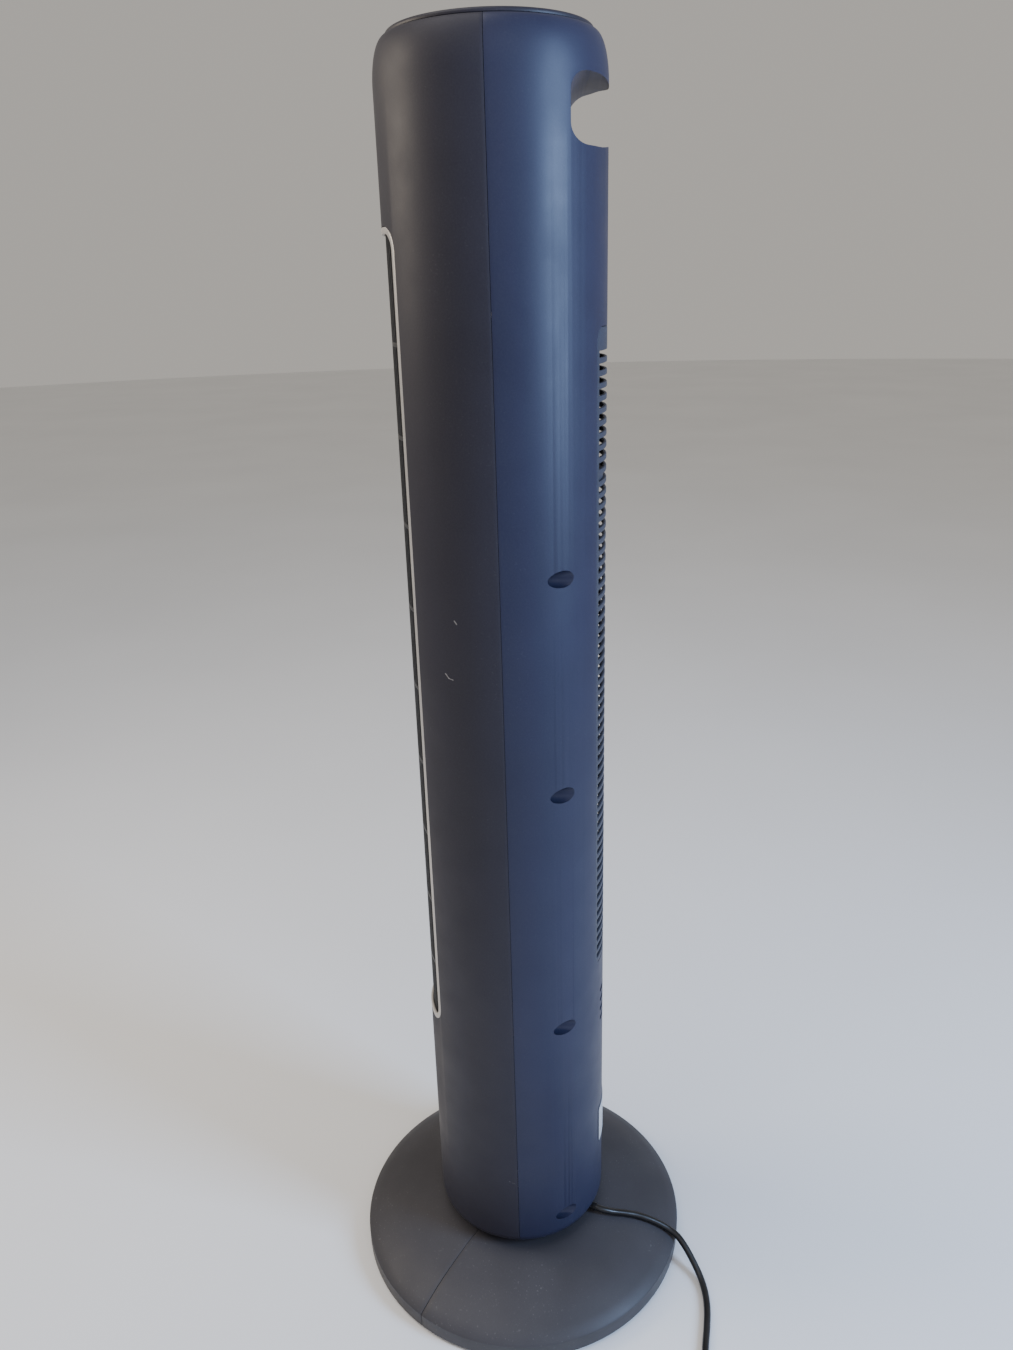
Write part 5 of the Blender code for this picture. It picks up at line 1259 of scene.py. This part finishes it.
@dataclass
class Covers:
    """The front and rear covers of the column, and the screws between them."""

    finishes: Finishes
    wall: float = 0.0025
    bottom_round: tuple[float, float] = (0.0125, 0.0130)
    shoulder: tuple[float, float] = (0.0085, 0.0280)
    end_hole: float = 0.0580
    steps: int = 96
    notch_floor: float = 0.9385
    notch_roof: float = 0.9790
    notch_depth_y: float = 0.0510
    notch_corner: float = 0.0115
    notch_lip: float = 0.0020
    outlet_corner: float = 0.0170
    inlet_corner: float = 0.0100
    well_radius: float = 0.0062
    well_wall: float = 0.0018
    well_lip: float = 0.0008
    cup_floor: float = 0.0023
    edge: float = 0.0005                # rounding of the plain cut edges
    core_inset: float = 0.0006
    skin_depth: float = 0.00025         # points this near the outer surface count as on it
    screw_head: float = 0.0026
    screws: int = 8
    vent_lowest: float = 0.2535
    vent_pitch: float = 0.0100
    vents: int = 4
    vent_half_width: float = 0.0220
    vent_height: float = 0.0040
    vent_cut: float = 0.0300            # length of a vent's cutter
    vent_cut_in: float = 0.0200         # how far inside the surface it starts
    relief_azimuth: float = math.radians(64.0)
    relief_height: float = 0.0468
    relief_hole: float = 0.0048
    radius: float = 0.0
    bottom: float = 0.0
    top: float = 0.0

    def __post_init__(self) -> None:
        """Read the column's size from the frame."""
        low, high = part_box("front_shell")
        self.radius = (high.x - low.x) / 2.0
        self.bottom = low.z
        self.top = high.z

    def line(self, inset: float) -> list[tuple[float, float]]:
        """The column's line from the top hole to the bottom hole, moved in."""
        across, down = self.shoulder
        into, up = self.bottom_round
        return (
            arc((self.radius - across, self.top - down), (across - inset, down - inset),
                90.0, 0.0, 18)
            + arc((self.radius - into, self.bottom + up), (into - inset, up - inset),
                  0.0, -90.0, 10)
        )

    def outer_radius(self, height: float) -> float:
        """The outer radius at a height."""
        across, down = self.shoulder
        into, up = self.bottom_round
        over = max(height - (self.top - down), 0.0) / down
        under = max(self.bottom + up - height, 0.0) / up
        loss = across * (1.0 - math.sqrt(max(1.0 - over * over, 0.0)))
        return self.radius - loss - into * (1.0 - math.sqrt(max(1.0 - under * under, 0.0)))

    def on_skin(self, point: Vector) -> bool:
        """Whether a point lies on the outer surface."""
        return point.xy.length > self.outer_radius(point.z) - self.skin_depth

    def half(self, name: str, start: float) -> bpy.types.Object:
        """One half cover, without its openings."""
        outline = [(self.end_hole, self.top)] + self.line(0.0) + [(self.end_hole, self.bottom)]
        outline.append((self.end_hole, self.bottom + self.wall))
        outline += list(reversed(self.line(self.wall)))
        outline.append((self.end_hole, self.top - self.wall))
        gap = SEAM / 2.0 / self.radius
        return Bench.turned(name, outline, self.steps, start=start + gap,
                            sweep=math.pi - 2.0 * gap)

    def core(self) -> bpy.types.Object:
        """The column as one solid, just inside its outer surface."""
        inset = self.core_inset
        outline = [(0.0, self.top - inset)] + self.line(inset) + [(0.0, self.bottom + inset)]
        return Bench.turned("core", outline, 2 * self.steps, closed=False)

    def opening(self, node: str, corner: float, to_rear: bool) -> bpy.types.Object:
        """The cutter of a round-cornered opening that a panel fills."""
        low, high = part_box(node)
        half = self.radius * math.asin(high.x / self.radius) + SEAM
        cutter = Bench.plate("opening", half, low.z - SEAM, high.z + SEAM, corner)
        Bench.rule(cutter, even_lines(half, 16), ACROSS)
        Bench.thicken(cutter, self.wall + 2.0 * CUT_PAST)
        return Bench.bend_round(cutter, self.radius + CUT_PAST, to_rear)

    def groove(self, name: str, grow: float) -> bpy.types.Object:
        """The handle notch's shape right across the rear, grown by a wall."""
        reach = self.radius + CUT_PAST + 2.0 * grow
        low, high = self.notch_floor - grow, self.notch_roof + grow
        inner, corner = self.notch_depth_y - grow, self.notch_corner + grow
        block = Bench.block(name, (-reach, inner, low), (reach, reach, high))
        Bench.round_edges(block, lambda point: point.y < inner + 0.001, corner, 8, 60.0)
        return block

    def screw_places(self) -> list[Vector]:
        """The middle of each screw's seat."""
        places = []
        for number in range(self.screws):
            low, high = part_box("shell_screw_%d" % (number + 1))
            middle = (low + high) / 2.0
            places.append(Vector((middle.x, high.y - self.screw_head, middle.z)))
        return places

    def make_front(self) -> None:
        """The front cover with the outlet's opening."""
        cover = self.half("front_cover", math.pi)
        Bench.cut(cover, self.opening("outlet_trim", self.outlet_corner, False))
        Bench.round_edges(cover, self.on_skin, self.edge, 2, 40.0)
        Bench.shade(cover, 30.0)
        dress(cover, self.finishes["front"], Body.COLUMN, "shell_front", "front_shell")

    def make_rear(self) -> None:
        """The rear cover with its notch, screw wells, inlet, vents and lead hole."""
        cover = self.half("rear_cover", 0.0)
        reach = self.radius + CUT_PAST
        seats = self.screw_places()
        cups = [
            Bench.rod("cup", seat - Vector((0.0, self.cup_floor, 0.0)), (seat.x, reach, seat.z),
                      self.well_radius + self.well_wall, 40)
            for seat in seats
        ]
        added = Bench.join("added", [self.groove("lining", self.wall), *cups])
        Bench.cut(added, self.core(), "INTERSECT")
        Bench.cut(cover, added, "UNION")
        wells = [
            Bench.rod("well", seat - Vector((0.0, TOUCH, 0.0)), (seat.x, reach, seat.z),
                      self.well_radius, 40)
            for seat in seats
        ]
        Bench.cut(cover, Bench.join("wells", wells))
        Bench.cut(cover, self.groove("notch", 0.0))
        Bench.cut(cover, self.opening("inlet_louvre", self.inlet_corner, True))
        for number in range(self.vents):
            middle = self.vent_lowest + self.vent_pitch * number
            half = self.vent_height / 2.0
            slot = Bench.plate("vent", self.vent_half_width, middle - half, middle + half,
                               0.98 * half, 5)
            Bench.thicken(slot, self.vent_cut)
            slot.location = (0.0, self.radius - self.vent_cut_in, 0.0)
            Bench.cut(cover, Bench.settle(slot))
        Bench.cut(cover, Bench.rod(
            "lead_hole", polar(self.end_hole - CUT_PAST, self.relief_azimuth, self.relief_height),
            polar(self.radius + CUT_PAST, self.relief_azimuth, self.relief_height),
            self.relief_hole, 28,
        ))
        lip = 0.0004

        def at_notch(point: Vector) -> bool:
            """Whether a point lies on the notch's edge."""
            inside = self.notch_floor - lip < point.z < self.notch_roof + lip
            return inside and self.on_skin(point) and point.y > self.notch_depth_y - 0.002

        def at_well(point: Vector) -> bool:
            """Whether a point lies on the edge of a screw well."""
            return self.on_skin(point) and any(
                math.hypot(point.x - seat.x, point.z - seat.z) < self.well_radius + lip
                for seat in seats
            )

        Bench.round_edges(cover, at_notch, self.notch_lip, 4, 40.0)
        Bench.round_edges(cover, at_well, self.well_lip, 3, 40.0)
        Bench.round_edges(
            cover, lambda point: self.on_skin(point) and not at_well(point)
            and not at_notch(point), self.edge, 2, 50.0,
        )
        Bench.shade(cover, 30.0)
        dress(cover, self.finishes["rear"], Body.COLUMN, "shell_rear", "rear_shell")

    def make_screws(self) -> None:
        """Pan-head screws with a cross recess, one modelled and the rest copied."""
        head = Bench.turned("screw", [
            (0.0, self.screw_head), (0.0022, self.screw_head - 0.0002),
            (0.0034, self.screw_head - 0.0008), (0.0040, self.screw_head - 0.0017),
            (0.0040, 0.0), (0.0016, 0.0), (0.0015, -0.0030), (0.0, -0.0030),
        ], 36, closed=False)
        for turn in (0.0, math.pi / 2.0):
            slot = Bench.block("slot", (-0.0020, -0.00045, 0.0010), (0.0020, 0.00045, 0.0040))
            slot.rotation_euler = (0.0, 0.0, turn + math.radians(20.0))
            Bench.cut(head, Bench.settle(slot))
        head.rotation_euler = (-math.pi / 2.0, 0.0, 0.0)
        Bench.settle(head)
        for number, seat in enumerate(self.screw_places()):
            screw = Bench.copy(head, "cover_screw_%d" % (number + 1), seat)
            dress(Bench.shade(screw), self.finishes["steel"], Body.COLUMN, "steel",
                  "shell_screw_%d" % (number + 1))
        bpy.data.objects.remove(head, do_unlink=True)

    def make(self) -> None:
        """Make and dress the covers."""
        self.make_front()
        self.make_rear()
        self.make_screws()


# ---------------------------------------------------------------- outlet and inlet

@dataclass
class Outlet:
    """The satin trim round the outlet, and the grille behind it."""

    finishes: Finishes
    radius: float
    corner: float = 0.0166
    trim_width: float = 0.0045
    trim_proud: float = 0.0002
    trim_depth: float = 0.0022
    grille_depth: float = 0.0022
    margin: float = math.radians(31.5)
    openings: int = 20
    bar_share: float = 0.34
    ribs: int = 9
    rib_first: float = 0.3200
    rib_pitch: float = 0.0628
    rib_height: float = 0.0030

    def make_trim(self) -> None:
        """The trim: a narrow round-cornered frame bent round the column."""
        low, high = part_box("outlet_trim")
        outer = self.radius + self.trim_proud
        half = outer * math.asin(high.x / outer)
        trim = Bench.plate("outlet_frame", half, low.z, high.z, self.corner, 12)
        Bench.edit(trim)
        bpy.ops.mesh.inset(thickness=self.trim_width)
        bpy.ops.mesh.delete(type="FACE")
        straight = half - self.corner
        Bench.rule(trim, even_lines(straight, 8), ACROSS)
        Bench.thicken(trim, self.trim_depth)
        Bench.soften(trim, 0.0007, 3, 60.0)
        Bench.bend_round(trim, outer, False)
        Bench.shade(trim)
        dress(trim, self.finishes["trim"], Body.COLUMN, "trim", "outlet_trim")

    def make_grille(self) -> None:
        """The grille: a sheet ruled into bars and ribs, with its openings dropped."""
        low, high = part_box("outlet_trim")
        face = self.radius + self.trim_proud - self.trim_depth - TOUCH
        half = face * math.asin(high.x / face)
        grille = Bench.plate("outlet_bars", half, low.z, high.z, self.corner, 6)
        pitch = 2.0 * self.margin * face / self.openings
        bar = pitch * self.bar_share
        gaps = [
            (-self.margin * face + pitch * number + bar / 2.0,
             -self.margin * face + pitch * (number + 1) - bar / 2.0)
            for number in range(self.openings)
        ]
        levels = [low.z + self.trim_width]
        for number in range(self.ribs):
            middle = self.rib_first + self.rib_pitch * number
            levels += [middle - self.rib_height / 2.0, middle + self.rib_height / 2.0]
        levels.append(high.z - self.trim_width)
        rows = list(zip(levels[::2], levels[1::2]))
        Bench.rule(grille, [edge for gap in gaps for edge in gap], ACROSS)
        Bench.rule(grille, levels, UPWARD)
        Bench.drop_faces(grille, lambda middle: any(
            start < middle.x < end for start, end in gaps
        ) and any(start < middle.z < end for start, end in rows))
        Bench.thicken(grille, self.grille_depth)
        Bench.soften(grille, 0.0004, 2, 60.0)
        Bench.bend_round(grille, face, False)
        Bench.shade(grille)
        dress(grille, self.finishes["grille"], Body.COLUMN, "grille", "outlet_grille")

    def make(self) -> None:
        """Make and dress the outlet."""
        self.make_trim()
        self.make_grille()


@dataclass
class Inlet:
    """The louvred panel that fills the rear opening."""

    finishes: Finishes
    radius: float
    corner: float = 0.0096
    slots: int = 59
    top_slot: float = 0.8129
    pitch: float = 0.0084
    slot_height: float = 0.0044
    slot_half_angle: float = math.radians(23.5)
    chords: int = 16
    depth: float = 0.0025
    stiffener_slot: int = 10
    stiffener_depth: float = 0.0050

    def make(self) -> None:
        """Make and dress the louvre, with the stiffener behind it."""
        low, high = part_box("inlet_louvre")
        half = self.radius * math.asin(high.x / self.radius)
        reach = self.radius * self.slot_half_angle
        louvre = Bench.plate("inlet_bars", half, low.z, high.z, self.corner, 8)
        levels = []
        for number in reversed(range(self.slots)):
            middle = self.top_slot - self.pitch * number
            levels += [middle - self.slot_height / 2.0, middle + self.slot_height / 2.0]
        rows = list(zip(levels[::2], levels[1::2]))
        chord = 2.0 * reach / self.chords
        Bench.rule(louvre, levels, UPWARD)
        Bench.rule(louvre, [-reach + chord * step for step in range(self.chords + 1)],
                   ACROSS)
        Bench.drop_faces(louvre, lambda middle: abs(middle.x) < reach and any(
            start < middle.z < end for start, end in rows
        ))
        Bench.thicken(louvre, self.depth)
        Bench.soften(louvre, 0.0007, 2, 60.0)
        Bench.bend_round(louvre, self.radius, True)

        middle = self.top_slot - self.pitch * self.stiffener_slot
        inner = self.radius - self.depth + 0.0002
        stiffener = Bench.plate("stiffener", inner * self.slot_half_angle * 1.08,
                                middle - 0.0035, middle + 0.0035, 0.0010, 3)
        Bench.rule(stiffener, [chord * (step - self.chords / 2.0)
                               for step in range(self.chords + 1)], ACROSS)
        Bench.thicken(stiffener, self.stiffener_depth)
        Bench.bend_round(stiffener, inner, True)
        louvre = Bench.join("inlet_bars", [louvre, stiffener])
        Bench.shade(louvre)
        dress(louvre, self.finishes["louvre"], Body.COLUMN, "louvre", "inlet_louvre")


@dataclass
class RatingLabel:
    """The blank rating label low on the rear cover."""

    finishes: Finishes
    thickness: float = 0.0004
    corner: float = 0.0020

    def make(self) -> None:
        """Make and dress the label."""
        low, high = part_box("rating_label")
        outer = high.y
        half = outer * math.asin(min(high.x / outer, 1.0))
        label = Bench.plate("blank_label", half, low.z, high.z, self.corner, 5)
        Bench.rule(label, even_lines(half, 10), ACROSS)
        Bench.thicken(label, self.thickness)
        Bench.bend_round(label, outer, True)
        Bench.shade(label)
        dress(label, self.finishes["label"], Body.COLUMN, "label", "rating_label")


# ---------------------------------------------------------------- top

@dataclass
class Top:
    """The cap, the glossy panel with its marks, the window and the buttons."""

    finishes: Finishes
    edge: float = 0.0020
    spigot_wall: float = 0.0022
    floor_thickness: float = 0.0023
    button_radius: float = 0.0048
    button_clearance: float = 0.0004
    dish: float = 0.0006
    print_height: float = 0.00012
    print_sink: float = 0.00002         # how far a mark reaches into the panel
    print_half_width: float = 0.00022
    spigot_radius: float = 0.0577
    mark_y: float = -0.0325
    names: tuple[str, ...] = ("timer", "mode", "power", "speed", "swing")

    def button_middle(self, name: str) -> Vector:
        """The middle of a button's top."""
        middle = middle_of("button_" + name)
        return Vector((middle.x, middle.y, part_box("button_" + name)[1].z))

    def make_cap(self) -> None:
        """The cap: a round-edged ring with a floor and a spigot into the covers."""
        low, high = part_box("top_cap")
        panel_low, panel_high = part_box("control_panel")
        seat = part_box("front_shell")[1].z + TOUCH
        radius = high.x
        rim = panel_high.x + SEAM
        floor = panel_low.z - TOUCH
        spigot = self.spigot_radius
        outline = [(0.0, floor), (rim, floor), (rim, high.z - 0.0004), (rim + 0.0004, high.z)]
        outline += arc((radius - self.edge, high.z - self.edge), (self.edge, self.edge),
                       90.0, 0.0, 8)
        outline += [
            (radius, seat + 0.0004), (radius - 0.0004, seat), (spigot, seat),
            (spigot, low.z), (spigot - self.spigot_wall, low.z),
            (spigot - self.spigot_wall, floor - self.floor_thickness),
            (0.0, floor - self.floor_thickness),
        ]
        cap = Bench.turned("cap_ring", outline, 144, closed=False)
        for name in self.names:
            middle = self.button_middle(name)
            Bench.cut(cap, Bench.rod(
                "hole", (middle.x, middle.y, floor - 0.010), (middle.x, middle.y, floor + 0.010),
                self.button_radius + self.button_clearance, 40,
            ))
        Bench.shade(cap)
        dress(cap, self.finishes["cap"], Body.COLUMN, "shell_front", "top_cap")

    def make_panel(self) -> None:
        """The panel with its holes, and the smoked window in it."""
        low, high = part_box("control_panel")
        panel = Bench.turned("panel_disc", [
            (0.0, high.z), (high.x - 0.0005, high.z), (high.x, high.z - 0.0005),
            (high.x, low.z), (0.0, low.z),
        ], 128, closed=False)
        for name in self.names:
            middle = self.button_middle(name)
            Bench.cut(panel, Bench.rod(
                "hole", (middle.x, middle.y, low.z - CUT_PAST),
                (middle.x, middle.y, high.z + CUT_PAST),
                self.button_radius + self.button_clearance, 48,
            ))
        glass_low, glass_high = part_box("display_window")
        grow = Vector((TOUCH, TOUCH, CUT_PAST))
        sight = Bench.block("sight", glass_low - grow, glass_high + grow)
        Bench.round_edges(sight, lambda point: True, 0.0012, 4, 60.0)
        Bench.cut(panel, sight)
        Bench.shade(panel)
        dress(panel, self.finishes["panel"], Body.COLUMN, "panel", "control_panel")
        glass = Bench.block("smoked_window", glass_low, glass_high)
        Bench.round_edges(glass, lambda point: True, 0.0006, 4, 60.0)
        Bench.shade(glass)
        dress(glass, self.finishes["window"], Body.COLUMN, "window", "display_window")

    def make_buttons(self) -> None:
        """Dished round buttons with a soft edge, one modelled and the rest copied."""
        low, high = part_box("button_power")
        radius = self.button_radius
        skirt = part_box("top_cap")[0].z + 0.006
        outline = [
            (0.0, high.z - self.dish), (radius * 0.35, high.z - self.dish * 0.90),
            (radius * 0.62, high.z - self.dish * 0.45), (radius * 0.80, high.z),
            (radius - 0.0005, high.z - 0.0001), (radius - 0.0001, high.z - 0.0005),
            (radius, high.z - 0.0010), (radius, skirt), (0.0064, skirt),
            (0.0064, skirt - 0.0012), (0.0020, skirt - 0.0012), (0.0020, low.z), (0.0, low.z),
        ]
        button = Bench.turned("button", outline, 48, closed=False)
        for name in self.names:
            middle = self.button_middle(name)
            made = Bench.copy(button, "push_" + name, (middle.x, middle.y, 0.0))
            body = "button_" + name
            dress(Bench.shade(made, 40.0), self.finishes["button"], body, "button", body)
        bpy.data.objects.remove(button, do_unlink=True)

    def stroke(self, middle: tuple[float, float], radius: float, start: float,
               sweep: float) -> bpy.types.Object:
        """A printed arc round a point on the panel, its angles in degrees."""
        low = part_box("control_panel")[1].z - self.print_sink
        high = low + self.print_height
        half = self.print_half_width
        drawn = Bench.turned("stroke", [
            (radius - half, high), (radius + half, high), (radius + half, low),
            (radius - half, low),
        ], 24, start=math.radians(start), sweep=math.radians(sweep))
        drawn.location = (*middle, 0.0)
        return Bench.settle(drawn)

    def bar(self, start: tuple[float, float], end: tuple[float, float]) -> bpy.types.Object:
        """A printed bar between two points on the panel, along X or Y."""
        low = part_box("control_panel")[1].z - self.print_sink
        half = self.print_half_width
        near = [min(pair) - half for pair in zip(start, end)]
        far = [max(pair) + half for pair in zip(start, end)]
        return Bench.block("bar", (*near, low), (*far, low + self.print_height))

    def make_marks(self) -> None:
        """A plain printed sign in front of each button."""
        y = self.mark_y
        x = {name: self.button_middle(name).x for name in self.names}
        strokes = [
            self.stroke((x["timer"], y), 0.0020, 0.0, 359.0),
            self.bar((x["timer"], y), (x["timer"], y + 0.0012)),
            self.bar((x["timer"], y), (x["timer"] + 0.0008, y)),
            self.stroke((x["power"], y), 0.0020, 120.0, 300.0),
            self.bar((x["power"], y + 0.0008), (x["power"], y + 0.0024)),
            self.stroke((x["swing"], y - 0.0014), 0.0026, 40.0, 100.0),
            self.bar((x["swing"] - 0.0022, y + 0.0001), (x["swing"] - 0.0022, y + 0.0010)),
            self.bar((x["swing"] + 0.0022, y + 0.0001), (x["swing"] + 0.0022, y + 0.0010)),
        ]
        for step in (-1, 0, 1):
            strokes.append(self.bar((x["mode"] - 0.0018, y + 0.0012 * step),
                                    (x["mode"] + 0.0018, y + 0.0012 * step)))
            left = x["speed"] + 0.0014 * step
            strokes.append(self.bar((left, y - 0.0014), (left, y - 0.0002 + 0.0010 * step)))
        marks = Bench.join("panel_marks", strokes)
        dress(marks, self.finishes["mark"], Body.COLUMN, "panel")

    def make(self) -> None:
        """Make and dress the top."""
        self.make_cap()
        self.make_panel()
        self.make_buttons()
        self.make_marks()


# ---------------------------------------------------------------- pieces inside

@dataclass
class Inside:
    """The frame's own solids inside the column and the base, which only get a finish."""

    finishes: Finishes
    nodes: dict[str, bpy.types.Object]

    def make(self) -> None:
        """Give each piece its material."""
        groups = {
            "guide": ("swivel_post", "turntable", "equipment_deck", "scroll_wall",
                             "tongue_wall", "motor_plate", "bearing_bracket"),
            "acetal": ("base_nut", "glide_ring", "retainer_ring", "swivel_gear",
                              "swing_pinion", "bearing_bush"),
            "motor": ("fan_motor", "swing_motor"),
            "steel": ("motor_shaft", "impeller_pin"),
            "wheel": ("impeller", "hub_coupling"),
            "board": ("control_board", "power_board"),
            "capacitor": ("run_capacitor",),
        }
        for finish, names in groups.items():
            for name in names:
                for slot in self.nodes[name].material_slots:
                    slot.material = self.finishes[finish]
                log.info("finished %s", name)


def main() -> None:
    """Build the fan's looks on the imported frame."""
    logging.basicConfig(level=logging.INFO, format="%(message)s")
    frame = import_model()
    studio = Studio()
    studio.set_camera()
    finishes = {name: recipe.make() for name, recipe in RECIPES.items()}
    PowerLead(finishes).make()
    studio.lay_floor()
    studio.light()
    Base(finishes).make()
    covers = Covers(finishes)
    covers.make()
    Outlet(finishes, covers.radius).make()
    Inlet(finishes, covers.radius).make()
    RatingLabel(finishes).make()
    Top(finishes).make()
    Inside(finishes, frame["nodes"]).make()
    Bench.idle()


if __name__ == "__main__":
    main()
